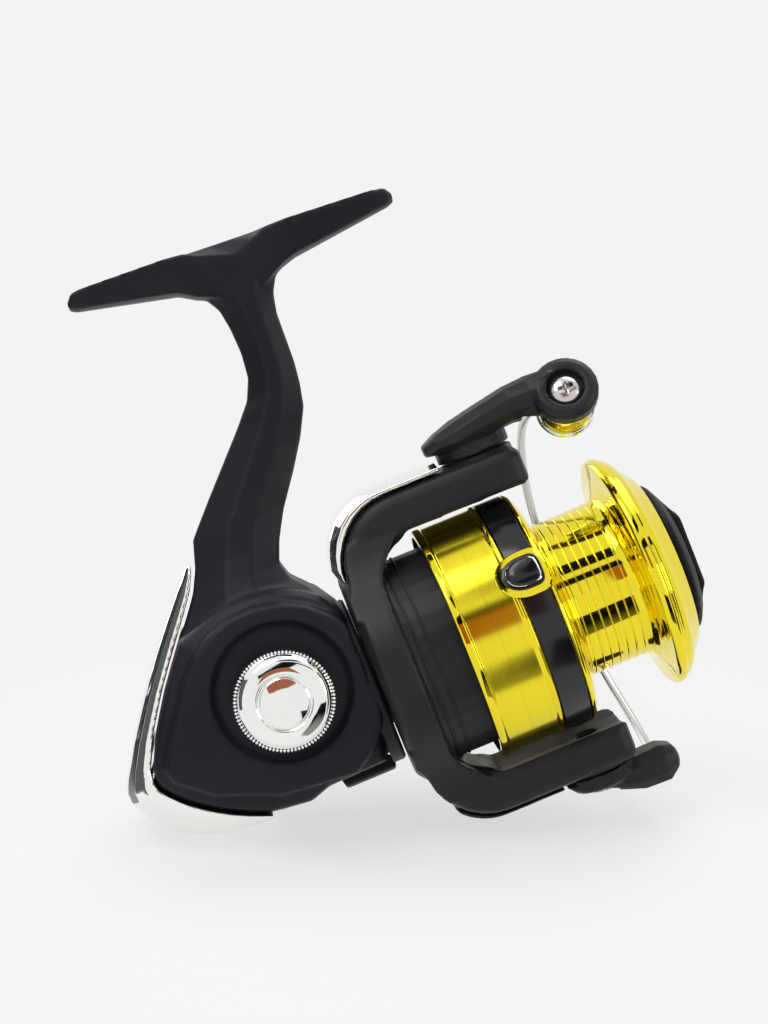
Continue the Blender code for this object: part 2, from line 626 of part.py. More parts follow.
def crank_gear():
    """Driven from the handle shaft: its pin carries the slider back and forth."""
    finish = material(*ZINC)
    low, high = CRANK_Y - CRANK_FACE / 2, CRANK_Y + CRANK_FACE / 2
    half_tooth = math.pi / CRANK_TEETH
    towards = math.atan2(DRIVE_W - CRANK_W, DRIVE_U - CRANK_U)
    count = CRANK_TEETH
    outline = [(x * math.cos(towards + half_tooth) - y * math.sin(towards + half_tooth),
                x * math.sin(towards + half_tooth) + y * math.cos(towards + half_tooth))
               for x, y in spur_outline(count, CRANK_GEAR_RADIUS, CRANK_GEAR_RADIUS + 0.7)]
    wheel = plate("oscillation_gear", outline, low, high, finish, at=(CRANK_U, 0, CRANK_W))
    bore = turned("bore", rod(-20, 0, 1.5 + GAP), finish, at=(CRANK_U, 0, CRANK_W), along="y", steps=16)
    combine(wheel, [bore])
    pin = turned("pin", rod(low + 0.3, SLIDER_SIDE - GAP, 1.1), finish, at=(CRANK_U - CRANK_RADIUS, 0, CRANK_W), along="y",
                 steps=12)
    return combine(wheel, [pin], "UNION")


def slider():
    """The block on the end of the main shaft, slotted for the crank pin and bored for the guide rod."""
    finish = material(*ZINC)
    travel = CRANK_RADIUS + 1.1 + GAP
    body = block("slider", (SLIDER_U - SLIDER_HALF, SLIDER_SIDE, CRANK_W - travel - 0.7),
                 (SLIDER_U + SLIDER_HALF, 3.2, GUIDE_W + 2.2), finish)
    soften(body, 0.5, 1)
    slot = block("slot", (SLIDER_U - 1.5, -9, CRANK_W - travel), (SLIDER_U + 1.5, -SHAFT_RADIUS - GAP - 0.3, CRANK_W + travel),
                 finish)
    bore = turned("bore", rod(SLIDER_U - 9, SLIDER_U + 9, SHAFT_RADIUS + GAP), finish, steps=20)
    guide = turned("guide", rod(SLIDER_U - 9, SLIDER_U + 9, 1 + GAP), finish, at=(0, 0, GUIDE_W), steps=16)
    behind = block("behind", (SLIDER_U - 9, -20, CRANK_W + travel - 0.4), (SLIDER_U + 0.7, 20, 40), finish)
    combine(body, [behind])
    screw_hole = turned("screw", rod(0, 20, 1.0 + GAP), finish, at=(SLIDER_U, 0, 0), along="y", steps=12)
    return combine(body, [slot, bore, guide, screw_hole])


def nut(name, start, end, size, bore, finish):
    """A hexagon nut on the spool's axis."""
    body = turned(name, rod(start, end, size), finish, steps=6)
    hole = turned("hole", rod(start - 5, end + 5, bore), finish, steps=20)
    return combine(body, [hole])


def screw(name, at, along, head_at, tip_at, head, thread, finish, turn=None, on_axis=True):
    """A cross-recessed screw: its head's face at head_at and its tip at tip_at, along the axis."""
    way = 1 if tip_at > head_at else -1
    obj = turned(name, [(head_at, 0), (head_at, head * 0.8), (head_at + 0.25 * way, head), (head_at + 1.1 * way, head),
                        (head_at + 1.1 * way, thread), (tip_at, thread), (tip_at, 0)], finish, at=at, along=along,
                 steps=16, turn=turn, on_axis=on_axis)
    frame = turn or ALONG[along]
    arm = head * 0.52
    for size in ((arm, 0.16 * head), (0.16 * head, arm)):
        cut = block("cut", (-size[0], -size[1], head_at - 0.5), (size[0], size[1], head_at + 0.6), finish, on_axis, at, frame)
        combine(obj, [cut])
    return obj


def gear_train():
    drive = (DRIVE_U, 0, DRIVE_W)
    bearing("near_drive_bearing", drive, "y", -CASE_HALF, DRIVE_SHAFT_RADIUS + GAP)
    bearing("far_drive_bearing", drive, "y", CASE_HALF - BEARING_WIDTH + 0.3, DRIVE_SHAFT_RADIUS + GAP)
    bearing("pinion_bearing", (0, 0, 0), "u", NECK_FRONT - PINION_SEAT + GAP, NOSE_RADIUS + GAP, width=3.2)
    drive_gear()
    crank_gear()
    slider()
    steel, zinc = material(*STEEL), material(*ZINC)
    screw("slider_screw", (SLIDER_U, 0, 0), "y", 4.6, SHAFT_RADIUS + GAP, 1.9, 1.0, steel)
    turned("guide_rod", rod(GUIDE_BACK, GUIDE_FRONT, 1.0), steel, at=(0, 0, GUIDE_W), steps=16)
    turned("main_shaft", [(SLIDER_U - SLIDER_HALF, 0), (SLIDER_U - SLIDER_HALF, SHAFT_RADIUS), (SHAFT_END - 0.5, SHAFT_RADIUS),
                          (SHAFT_END, SHAFT_RADIUS - 0.5), (SHAFT_END, 0)], steel, steps=24)
    turned("bearing_retainer", [(NECK_FRONT + GAP, NOSE_RADIUS + RUN), (NECK_FRONT + GAP, BEARING_OUTER + 2.2),
                                (NECK_FRONT + 0.9, BEARING_OUTER + 2.2), (NECK_FRONT + 0.9, NOSE_RADIUS + RUN)], steel,
           steps=32)
    turned("one_way_clutch", [(NECK_FRONT + 1.2, NOSE_RADIUS + GAP), (NECK_FRONT + 1.2, CLUTCH_RADIUS - 1.2),
                              (NECK_FRONT + 2.0, CLUTCH_RADIUS), (CLUTCH_FRONT, CLUTCH_RADIUS), (CLUTCH_FRONT, 6.2),
                              (CLUTCH_FRONT - 0.6, 6.0), (CLUTCH_FRONT - 0.6, NOSE_RADIUS + GAP)], zinc, steps=28)
    pinion = plate_along_u("pinion_gear", spur_outline(PINION_TEETH, 2.7, PINION_RADIUS, 0.3), PINION_BACK, PINION_FRONT,
                           material(*BRASS))
    nose = turned("nose", rod(PINION_FRONT - 0.5, NOSE_FRONT, NOSE_RADIUS), material(*BRASS), steps=24)
    combine(pinion, [nose], "UNION")
    bore = turned("bore", rod(PINION_BACK - 5, NOSE_FRONT + 5, PINION_BORE), material(*BRASS), steps=20)
    combine(pinion, [bore])


def plate_along_u(name, outline, back, front, finish):
    """A flat outline of (across, up) points, as long as back to front along the spool's axis."""
    obj = plate(name, outline, back, front, finish)
    obj.rotation_euler = (0, 0, -math.pi / 2)
    bpy.context.view_layer.update()
    return obj


def anti_reverse_lever():
    """Rocks on a rod along the spool's axis; its tab shows under the case."""
    finish = material(*MOULDED)
    rod_part = turned("anti_reverse_lever", rod(LEVER_U - 7.2 + GAP, LEVER_U + 7.2 - GAP, 1.2), finish, at=(0, 0, LEVER_W),
                      steps=16)
    reach = LEVER_REACH
    outline = [(-4.6, -reach), (4.6, -reach), (5.1, -reach + 1.8), (3.4, -reach + 3.4), (3.4, 0), (-3.4, 0),
               (-3.4, -reach + 3.4), (-5.1, -reach + 1.8)]
    tab = plate("tab", outline, -1.1, 1.1, finish, at=(LEVER_U, 0, LEVER_W))
    soften(tab, 0.35, 2)
    combine(rod_part, [tab], "UNION")
    rod_part.data.transform(rotation_about(Vector((1, 0, 0)), -LEVER_REST, ALONG["u"]))
    return rod_part


def rotation_about(axis, angle, frame):
    """A turn about an axis of the parent, as a matrix in the space of an object turned by frame."""
    local = Euler(frame).to_matrix().to_4x4()
    return local.inverted() @ Matrix.Rotation(angle, 4, axis) @ local


# ---------------------------------------------------------------- spool and drag


def spool():
    gold = material(*GOLD)
    band_end = BAND_START + BAND_WIDTH
    inner = SKIRT_RADIUS - SKIRT_WALL
    profile = [
        (0, inner), (0, SKIRT_RADIUS - 0.2), (0.4, SKIRT_RADIUS), (1.2, SKIRT_RADIUS), (1.5, SKIRT_RADIUS - 0.4),
        (BAND_START - 1.1, SKIRT_RADIUS - 0.4), (BAND_START - 0.2, SKIRT_RADIUS + 0.1),
        (BAND_START, SKIRT_RADIUS - BAND_DEPTH), (band_end, SKIRT_RADIUS - BAND_DEPTH),
        (band_end + 0.2, SKIRT_RADIUS), (band_end + 1.2, SKIRT_RADIUS - 1.2), (ARBOR_START, ARBOR_RADIUS + 1),
        (ARBOR_START + 0.4, ARBOR_RADIUS), (LIP_START - 0.4, ARBOR_RADIUS), (LIP_START, ARBOR_RADIUS + 0.8),
        (LIP_START + 0.7, LIP_RADIUS - 2.3), (LIP_START + 2.2, LIP_RADIUS - 0.6), (LIP_START + 3.4, LIP_RADIUS - 0.1),
        (LIP_START + 4.4, LIP_RADIUS), (LIP_START + 5.4, LIP_RADIUS - 0.7), (LIP_START + 6.6, LIP_RADIUS - 3.6),
        (LIP_END, ARBOR_RADIUS - 0.1), (LIP_END, DRAG_RADIUS + 2.6), (LIP_END - 1.6, DRAG_RADIUS + 0.2),
        (DRAG_WELL, DRAG_RADIUS + 0.2), (DRAG_WELL, SHAFT_RADIUS + GAP), (HUB_BACK, SHAFT_RADIUS + GAP),
        (HUB_BACK, 5.0), (WEB + 6, 5.6), (WEB + 7, ARBOR_RADIUS - 2.4), (WEB + 2, ARBOR_RADIUS - 1.6), (WEB, inner - 2),
        (WEB - 1.4, inner),
    ]
    body = turned("spool", profile, gold, steps=36)
    seat = plate("seat", clip_outline(GAP), -SKIRT_RADIUS - 1.5, -SKIRT_RADIUS + 1.3, gold, at=CLIP_AT)
    seat.rotation_euler = (CLIP_TURN, 0, 0)
    bpy.context.view_layer.update()
    return combine(body, [seat])


def clip_outline(grow=0.0):
    """A rounded D, blunt towards the spool's lip."""
    return flowing([(-3.3 - grow, 0), (-2.0 - grow, 2.3 + grow), (0.9, 2.7 + grow), (2.1 + grow, 2.0 + grow),
                    (2.4 + grow, 0), (2.1 + grow, -2.0 - grow), (0.9, -2.7 - grow), (-2.0 - grow, -2.3 - grow)], 2)[:-1]


def line_clip():
    """The clip that holds the line's end, seated in the skirt."""
    clip = plate("line_clip", clip_outline(), -SKIRT_RADIUS - 0.9, -SKIRT_RADIUS + 0.95, material(*MOULDED), at=CLIP_AT)
    clip.rotation_euler = (CLIP_TURN, 0, 0)
    return soften(clip, 0.4, 2)


def spool_parts():
    steel, zinc, black = material(*STEEL), material(*ZINC), material(*MOULDED)
    spool()
    band_end = BAND_START + BAND_WIDTH
    band = turned("skirt_band", tube(BAND_START + 0.15, band_end - 0.15, SKIRT_RADIUS + 0.05,
                                     SKIRT_RADIUS - BAND_DEPTH + 0.15), material(*BAND), steps=36)
    opening = plate("opening", clip_outline(GAP), -SKIRT_RADIUS - 3, -SKIRT_RADIUS + 3, black, at=CLIP_AT)
    opening.rotation_euler = (CLIP_TURN, 0, 0)
    bpy.context.view_layer.update()
    combine(band, [opening])
    line_clip()
    turned("click_gear", tube(HUB_BACK - 1.6, HUB_BACK - GAP, 5.6, SHAFT_RADIUS + GAP), black, steps=24)
    turned("spool_washer", tube(HUB_BACK - 3.0, HUB_BACK - 1.9, 4.2, SHAFT_RADIUS + GAP), steel, steps=24)
    start = DRAG_WELL + GAP
    for name, finish in (("drag_felt_1", FELT), ("drag_washer_1", STEEL), ("drag_felt_2", FELT), ("drag_washer_2", STEEL),
                         ("drag_felt_3", FELT), ("drag_pressure_plate", STEEL)):
        thick = 0.9 if finish is FELT else 0.7
        turned(name, tube(start, start + thick, DRAG_RADIUS - 0.3, SHAFT_RADIUS + GAP), material(*finish), steps=24)
        start += thick + GAP
    turned("drag_retaining_ring", tube(start, start + 0.6, DRAG_RADIUS, DRAG_RADIUS - 1.4), steel, steps=32)
    turned("drag_spring", tube(start + 0.9, KNOB_UNDER + 1.6, 4.6, 3.7), steel, steps=24)
    nut("drag_nut", start + 0.9, KNOB_UNDER + 0.8, 3.4, SHAFT_RADIUS + GAP, material(*BRASS))
    knob()


def knob():
    """The drag knob: a low cone with a grip bar across its face."""
    black = material(*MOULDED)
    body = turned("drag_knob", [
        (KNOB_UNDER, 5.4), (KNOB_UNDER, KNOB_BASE - 0.5), (KNOB_UNDER + 0.5, KNOB_BASE), (KNOB_UNDER + 1.2, KNOB_BASE - 0.3),
        (KNOB_TOP - 0.7, 7.8), (KNOB_TOP, 7.0), (KNOB_TOP, 0), (KNOB_UNDER + 2.2, 0), (KNOB_UNDER + 2.2, 5.4),
    ], black, steps=32)
    for side in (-1, 1):
        low, high = sorted((side * 3.6, side * 14))
        scoop = block("scoop", (KNOB_UNDER + 2.6, low, -14), (KNOB_TOP + 3, high, 14), black)
        combine(body, [scoop])
    return soften(body, 0.4, 1, 35)


# ---------------------------------------------------------------- rotor


def arm_outline(side):
    """The C of the back and one arm: rounded at the outer corner, square to the inside."""
    back, reach = ROTOR_BACK, ARM_OUTER
    outer = circle((SHOULDER + CORNER, reach - CORNER), CORNER, 8, math.pi, -math.pi / 2)
    heel = [(back, 0), (back, reach - CORNER - 2.2), (SHOULDER, reach - CORNER - 0.8)]
    front = [(ARM_FRONT - 1.2, reach), (ARM_FRONT, reach - 1.6), (ARM_FRONT, ARM_INNER - 2.4)]
    inner = circle((back + BACK_THICKNESS + 7, ARM_INNER - 9.4), 7, 5, math.pi / 2, math.pi / 2)
    return [(u, w * side) for u, w in heel + outer + front + inner + [(back + BACK_THICKNESS, 0)]]


def rotor():
    black = material(*MOULDED)
    half = ARM_WIDTH / 2
    arms = []
    for side in (1, -1):
        arm = pillow("arm", arm_outline(side), -half, half, 2.2, black)
        sweep = turned("sweep", [(ROTOR_BACK + BACK_THICKNESS + 1.5, 0), (ROTOR_BACK + BACK_THICKNESS + 1.5, CUP_RADIUS),
                                 (ROTOR_BACK + BACK_THICKNESS + 7, ARM_INNER), (ARM_FRONT + 6, ARM_INNER),
                                 (ARM_FRONT + 6, 0)], black, steps=36)
        arms.append(combine(arm, [sweep]))
    cup = turned("rotor", [(ROTOR_BACK, 0), (ROTOR_BACK, CUP_RADIUS - 1.4), (ROTOR_BACK + 1.4, CUP_RADIUS),
                         (CUP_FRONT, CUP_RADIUS), (CUP_FRONT, 0)], black, steps=36)
    combine(cup, arms, "UNION")
    room = turned("room", [(CUP_FRONT + 5, 0), (CUP_FRONT + 5, CUP_RADIUS - CUP_WALL), (ROTOR_WEB + 2, CUP_RADIUS - CUP_WALL),
                           (ROTOR_WEB, CUP_RADIUS - CUP_WALL - 2), (ROTOR_WEB, 0)][::-1], black, steps=28)
    back = turned("back", [(ROTOR_BACK - 3, 0), (ROTOR_BACK - 3, CLUTCH_RADIUS + RUN), (ROTOR_WEB - 2.0, CLUTCH_RADIUS + RUN),
                           (ROTOR_WEB - 2.0, NOSE_RADIUS + GAP), (ROTOR_WEB + 3, NOSE_RADIUS + GAP), (ROTOR_WEB + 3, 0)],
                  black, steps=36)
    combine(cup, [room, back])
    pocket = turned("pocket", rod(ARM_INNER + 1.3, ARM_OUTER + 5, 5.2), black, at=(SPRING_U, 0, 0), along="w", steps=20)
    combine(cup, [pocket])
    for side in (1, -1):
        boss = turned("boss", rod(side * (ARM_INNER + 1.2), side * (ARM_OUTER + 0.4), HUB_RADIUS), black,
                      at=(PIVOT_U, 0, 0), along="w", steps=28)
        combine(cup, [boss], "UNION")
        hole = turned("hole", rod(side * (ARM_INNER - 6), side * (ARM_OUTER + 9), 1.6 + GAP), black,
                      at=(PIVOT_U, 0, 0), along="w", steps=16)
        combine(cup, [hole])
    return cup


def crown(name, finish, side, first, end, height, bulge):
    """A crowned strip over an arm's outer face, round the rotor's back corner from an angle above the back."""
    centre = (SHOULDER + CORNER, ARM_OUTER - CORNER)
    inner = circle(centre, CORNER + GAP, 9, math.pi - first, first - math.pi / 2) + [(end, ARM_OUTER + GAP)]
    rings = []
    for i, (u, w) in enumerate(inner):
        before, after = inner[max(0, i - 1)], inner[min(len(inner) - 1, i + 1)]
        along = Vector((after[0] - before[0], after[1] - before[1])).normalized()
        out = Vector((-along.y, along.x))
        rise = height * (0.55 if i == 0 else 1.0) + bulge * math.sin(math.pi * min(1, i / 8))
        half = ARM_WIDTH / 2 - 2.4
        ring = [(u + out.x * up, y, w + out.y * up)
                for y, up in ((half, 0.0), (half, rise * 0.45), (half * 0.6, rise * 0.9), (half * 0.2, rise))]
        ring += [(px, -py, pz) for px, py, pz in reversed(ring)]
        rings.append([(px, py, pz * side) for px, py, pz in ring])
    return loft(name, rings, finish)


def rotor_parts():
    steel = material(*STEEL)
    rotor()
    crown("arm_trim", material(*CHROME), 1, 0.0, PIVOT_U - HUB_RADIUS - 0.9, TRIM_CROWN, 0.9)
    crown("lower_arm_cover", material(*MOULDED), -1, 0.75, PIVOT_U - HUB_RADIUS - 0.9, 0.9, 0.3)
    nut("rotor_nut", ROTOR_WEB + GAP, ROTOR_WEB + 2.9, 6.2, NOSE_RADIUS + GAP, steel)
    turned("nut_lock_ring", [(ROTOR_WEB + 3.2, PINION_BORE + 0.2), (ROTOR_WEB + 3.2, 6.6), (ROTOR_WEB + 4.0, 6.6),
                             (ROTOR_WEB + 4.0, PINION_BORE + 0.2)], steel, steps=24)
    turned("bail_spring", tube(ARM_INNER + 1.6, ARM_INNER + 3.4, 4.6, 3.8), steel, at=(SPRING_U, 0, 0), along="w", steps=16)


# ---------------------------------------------------------------- bail


def bail_arm():
    """The upper arm: from its pivot hub it runs forward and sideways to the line roller's cap."""
    black = material(*MOULDED)
    low, high = ARM_OUTER + 0.7, ARM_OUTER + 3.6
    hub = turned("bail_arm", [(low, 0), (low, HUB_RADIUS), (high - 0.6, HUB_RADIUS), (high, HUB_RADIUS - 0.8), (high, 0)], black,
                 at=(PIVOT_U, 0, 0), along="w", steps=22)
    rings = []
    for u, y, w, wide, tall in BAIL_PATH:
        ring = [(wide * math.cos(a), tall * math.sin(a)) for a in (math.tau * (i + 0.5) / 10 for i in range(10))]
        rings.append([(u, y + across, w + up) for across, up in ring])
    arm = loft("arm", rings, black)
    cap = turned("cap", [(0, 0), (0, CAP_RADIUS - 1.0), (0.9, CAP_RADIUS), (3.2, CAP_RADIUS), (4.1, CAP_RADIUS - 0.7), (4.1, 0)],
                 black, at=ROLLER_AT, turn=ROLLER_FRAME, steps=22)
    combine(hub, [arm, cap], "UNION")
    recess = turned("recess", [(-2, 0), (-2, 3.3), (1.6, 3.3), (1.6, ROLLER_PIN + GAP), (8, ROLLER_PIN + GAP), (8, 0)], black,
                    at=ROLLER_AT, turn=ROLLER_FRAME, steps=22)
    bolt = turned("bolt", [(ARM_OUTER - 4, 0), (ARM_OUTER - 4, PIVOT_BOLT + GAP), (high - 0.9, PIVOT_BOLT + GAP),
                           (high - 0.9, 3.2 + GAP), (high + 9, 3.2 + GAP), (high + 9, 0)], black, at=(PIVOT_U, 0, 0),
                  along="w", steps=20)
    below = block("below", (0, -30, ARM_OUTER - 12), (ROLLER_U - CAP_RADIUS - 3.5, 30, ARM_OUTER + 0.65), black)
    beyond = turned("beyond", rod(4.2, 14, CAP_RADIUS + 2.5), black, at=ROLLER_AT, turn=ROLLER_FRAME, steps=22)
    return combine(hub, [beyond, recess, bolt, below])


def along_roller(distance):
    """A point on the line roller's axis, from the outer face of its cap."""
    return (ROLLER_AT[0], ROLLER_AT[1] + distance * math.cos(ROLLER_TILT), ROLLER_AT[2] - distance * math.sin(ROLLER_TILT))


def bail_lever():
    """The lower arm, which carries the wire's other end."""
    black = material(*MOULDED)
    low = ARM_OUTER + 0.7
    hub = turned("bail_lever", [(-low, 0), (-low, HUB_RADIUS - 0.4), (-low - 2.4, HUB_RADIUS - 0.8), (-low - 2.9, HUB_RADIUS - 1.6),
                                (-low - 2.9, 0)], black, at=(PIVOT_U, 0, 0), along="w", steps=22)
    rings = []
    for u, upper, lower, half in LEVER_PATH:
        side = [(half, 0.3), (half, 0.7), (half * 0.7, 1.0)]
        ring = [(u, y, -upper - (lower - upper) * deep) for y, deep in [(half * 0.7, 0.0), *side]]
        rings.append(ring + [(px, -py, pz) for px, py, pz in reversed(ring)])
    blade = loft("blade", rings, black)
    combine(hub, [blade], "UNION")
    bolt = turned("bolt", [(-low + 6, 0), (-low + 6, PIVOT_BOLT + GAP), (-low - 1.6, PIVOT_BOLT + GAP), (-low - 1.6, 3.2 + GAP),
                           (-low - 12, 3.2 + GAP), (-low - 12, 0)], black, at=(PIVOT_U, 0, 0), along="w", steps=20)
    wire_seat = turned("seat", rod(0, 12, WIRE_RADIUS + GAP), black, at=LEVER_EYE, along="y", steps=12)
    return combine(hub, [bolt, wire_seat])


def wire_points():
    """The bail wire's centre line: from the cone round the far side to the lower lever."""
    start = along_roller(CONE_END + GAP + 0.2)
    end = (LEVER_EYE[0], LEVER_EYE[1] + 0.4, LEVER_EYE[2])
    front = PIVOT_U + 10.8
    side = math.sqrt(WIRE_REACH**2 - (front - PIVOT_U) ** 2)
    route = [start, (31.8, start[1] + 5.4, 31.2), (29.4, 13.0, 32.2), (27.6, 22.5, 28.6), (front + 0.2, side - 7.6, 20.0),
             (front - 0.3, side - 1.0, 9.5), (front, side, -2.0), (front, side - 3.6, -13.0), (front + 0.2, side - 11.4, -21.5),
             (front + 0.3, 19.5, -27.6), (front, 9.5, end[2] + 0.6), (end[0], end[1] + 3.2, end[2]), end]
    return flowing(route, 4)


def bail_wire():
    curve = bpy.data.curves.new("bail_wire", "CURVE")
    curve.dimensions = "3D"
    curve.bevel_depth = WIRE_RADIUS * MM
    curve.bevel_resolution = 2
    curve.use_fill_caps = True
    points = wire_points()
    spline = curve.splines.new("POLY")
    spline.points.add(len(points) - 1)
    for target, point in zip(spline.points, points):
        target.co = (*[value * MM for value in point], 1)
    obj = bpy.data.objects.new("bail_wire", curve)
    bpy.data.collections[REEL].objects.link(obj)
    obj.parent = bpy.data.objects[AXIS]
    curve.materials.append(material(*STEEL))
    return obj


def bail_parts():
    steel, gold, black = material(*STEEL), material(*GOLD), material(*MOULDED)
    bail_arm()
    bail_lever()
    bail_wire()
    at, turn = ROLLER_AT, ROLLER_FRAME
    screw("roller_screw", at, "y", 0.3, CONE_START + 1.6, 2.75, ROLLER_PIN, steel, turn=turn)
    turned("line_roller", [(4.5, ROLLER_PIN + GAP), (4.5, 4.9), (5.0, 5.1), (5.6, 4.5), (6.8, 4.0), (8.0, 4.4), (8.8, 5.0),
                           (9.3, 4.9), (9.3, ROLLER_PIN + GAP)], gold, at=at, turn=turn, steps=24)
    cone = turned("bail_cone", [(CONE_START, 0), (CONE_START, 5.0), (CONE_START + 0.8, 5.2), (CONE_START + 2.2, 3.6),
                                (CONE_END, 1.4), (CONE_END, 0)], steel, at=at, turn=turn, steps=32)
    hole = turned("hole", rod(CONE_START - 2, CONE_START + 1.9, ROLLER_PIN + GAP), steel, at=at, turn=turn, steps=16)
    combine(cone, [hole])
    for name, side in (("bail_arm_screw", 1), ("bail_lever_screw", -1)):
        face = side * (ARM_OUTER + (4.1 if side > 0 else 4.6))
        screw(name, (PIVOT_U, 0, 0), "w", face, side * (ARM_INNER + 0.4), 3.2, PIVOT_BOLT, steel)


# ---------------------------------------------------------------- handle


def knurled_cap():
    """The bright cap on the shaft's free end: a tapered knurl, and a raised ring on its face."""
    finish = material(*CHROME)
    base, face = CAP_BASE_Y, CAP_BASE_Y - CAP_HEIGHT
    cap = turned("handle_cap", [
        (base + 0.8, CAP_BASE_RADIUS - 1.2), (base, CAP_BASE_RADIUS), (base - 1.6, CAP_BASE_RADIUS - 0.1),
        (face + 0.6, CAP_FACE_RADIUS + 0.2), (face, CAP_FACE_RADIUS - 0.4), (face + 0.3, 5.0), (face + 0.1, 4.7),
        (face + 0.3, 4.3), (face + 0.3, 0), (STUD_END, 0), (STUD_END, STUD_RADIUS), (base + 0.8, STUD_RADIUS),
    ][::-1], finish, at=(DRIVE_U, 0, DRIVE_W), along="y", steps=32)
    return cap


def handle():
    steel, zinc, black = material(*STEEL), material(*ZINC), material(*MOULDED)
    drive = (DRIVE_U, 0, DRIVE_W)
    knurled_cap()
    turned("handle_shank", [(-2, 0), (-2, SHAFT_BORE - GAP), (CASE_HALF + 0.8, SHAFT_BORE - GAP),
                            (CASE_HALF + 0.8, SHANK_RADIUS), (PLATEAU_HALF + 3, SHANK_RADIUS), (PLATEAU_HALF + 4, 4.6),
                            (HANDLE_Y - 8, 3.6), (HANDLE_Y - GAP, 3.6), (HANDLE_Y - GAP, 0)], zinc, at=drive, along="y",
           steps=32)
    reach = HANDLE_REACH
    outline = circle((0, 0), 5.6, 11, math.radians(60), math.radians(240))
    outline += circle((reach, 0), 4.2, 7, math.radians(-80), math.radians(160))
    arm = plate("handle_arm", outline, HANDLE_Y, HANDLE_Y + 4.2, zinc, at=drive)
    soften(arm, 0.8, 2)
    arm.rotation_euler = (0, HANDLE_DROP, 0)
    bpy.context.view_layer.update()
    tip = knob_axis()
    bore = turned("bore", rod(HANDLE_Y + 1.2, HANDLE_Y + 9, 1.8 + GAP), zinc, at=tip, along="y", steps=16)
    hub_bore = turned("hub_bore", rod(HANDLE_Y - 3, HANDLE_Y + 9, 1.5 + GAP), zinc, at=drive, along="y", steps=16)
    combine(arm, [bore, hub_bore])
    shank = bpy.data.objects["handle_shank"]
    thread = turned("thread", rod(HANDLE_Y - 6, HANDLE_Y + 9, 1.5 + GAP), zinc, at=drive, along="y", steps=16)
    combine(shank, [thread])
    screw("handle_arm_screw", drive, "y", HANDLE_Y + 5.7, HANDLE_Y - 5.4, 3.0, 1.5, steel)
    pin_start, knob_start = HANDLE_Y + 1.4, HANDLE_Y + 5.0
    turned("knob_pin", [(pin_start, 0), (pin_start, 1.8), (knob_start + KNOB_LENGTH - 4, 1.8),
                        (knob_start + KNOB_LENGTH - 4, 3.0), (knob_start + KNOB_LENGTH - 3, 3.0),
                        (knob_start + KNOB_LENGTH - 3, 0)], steel, at=tip, along="y", steps=16)
    end = knob_start + KNOB_LENGTH
    turned("handle_knob", [(knob_start, 1.8 + GAP), (knob_start, 5.4), (knob_start + 1.2, 6.2), (knob_start + 5, 5.6),
                           (knob_start + 10, 6.4), (end - 6, 8.6), (end - 2, 8.4), (end, 7.2), (end, 4.2),
                           (end - 4.6, 4.2), (end - 4.6, 1.8 + GAP)], black, at=tip, along="y", steps=32)
    turned("knob_end_cap", [(end - 2.6, 0), (end - 2.6, 3.8), (end + 0.2, 3.8), (end + 0.8, 3.0), (end + 0.8, 0)],
           material(*CHROME), at=tip, along="y", steps=24)


def knob_axis():
    """Where the knob's axis crosses the spool's plane: the end of the handle arm."""
    return (DRIVE_U + HANDLE_REACH * math.cos(HANDLE_DROP), 0, DRIVE_W - HANDLE_REACH * math.sin(HANDLE_DROP))


def case_screws():
    steel = material(*STEEL)
    for i, (u, w) in enumerate(COVER_SCREWS):
        screw(f"cover_screw_{i + 1}", (u, 0, w), "y", CASE_HALF - 0.2, BOSS_START + 0.4, 2.1, 1.2, steel)
    screw("rear_cover_screw", REAR_SCREW, "w", -0.1, 3.0, 2.2, 1.2, steel, on_axis=False)


def main():
    clear_scene()
    reel = bpy.data.collections.get(REEL) or bpy.data.collections.new(REEL)
    if not bpy.context.scene.collection.children.get(REEL):
        bpy.context.scene.collection.children.link(reel)
    axis = bpy.data.objects.new(AXIS, None)
    reel.objects.link(axis)
    axis.location = Vector((AXIS_FORWARD, 0, -AXIS_DROP)) * MM
    axis.rotation_euler = (0, -AXIS_TILT, 0)
    bpy.context.view_layer.update()
    housing()
    side_cover()
    rear_cover()
    case_screws()
    gear_train()
    anti_reverse_lever()
    spool_parts()
    rotor_parts()
    bail_parts()
    handle()
    for obj in reel.objects:
        if obj.type == "MESH":
            obj.data.shade_smooth()
            obj.data.set_sharp_from_angle(angle=math.radians(35))


main()
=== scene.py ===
"""Finishes and fine surfaces for a spinning reel, built over its fixed model."""

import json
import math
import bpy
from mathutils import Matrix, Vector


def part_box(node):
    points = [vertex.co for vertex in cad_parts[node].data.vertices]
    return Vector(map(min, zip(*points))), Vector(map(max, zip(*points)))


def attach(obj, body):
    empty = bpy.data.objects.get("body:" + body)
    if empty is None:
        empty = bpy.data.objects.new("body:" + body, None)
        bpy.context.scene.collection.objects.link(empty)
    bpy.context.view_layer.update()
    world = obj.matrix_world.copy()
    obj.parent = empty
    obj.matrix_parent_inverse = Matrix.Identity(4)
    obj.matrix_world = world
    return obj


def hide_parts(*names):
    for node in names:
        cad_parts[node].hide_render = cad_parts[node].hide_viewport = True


bl_info = {
    "name": "Spinning Reel",
    "version": (1, 0, 0),
    "blender": (4, 5, 0),
    "location": "View3D > Sidebar > Reel",
    "description": "Builds the visible surfaces, finishes and stage of a small spinning reel",
    "category": "Add Mesh",
}

import bmesh
import bpy
from mathutils import Matrix, Vector

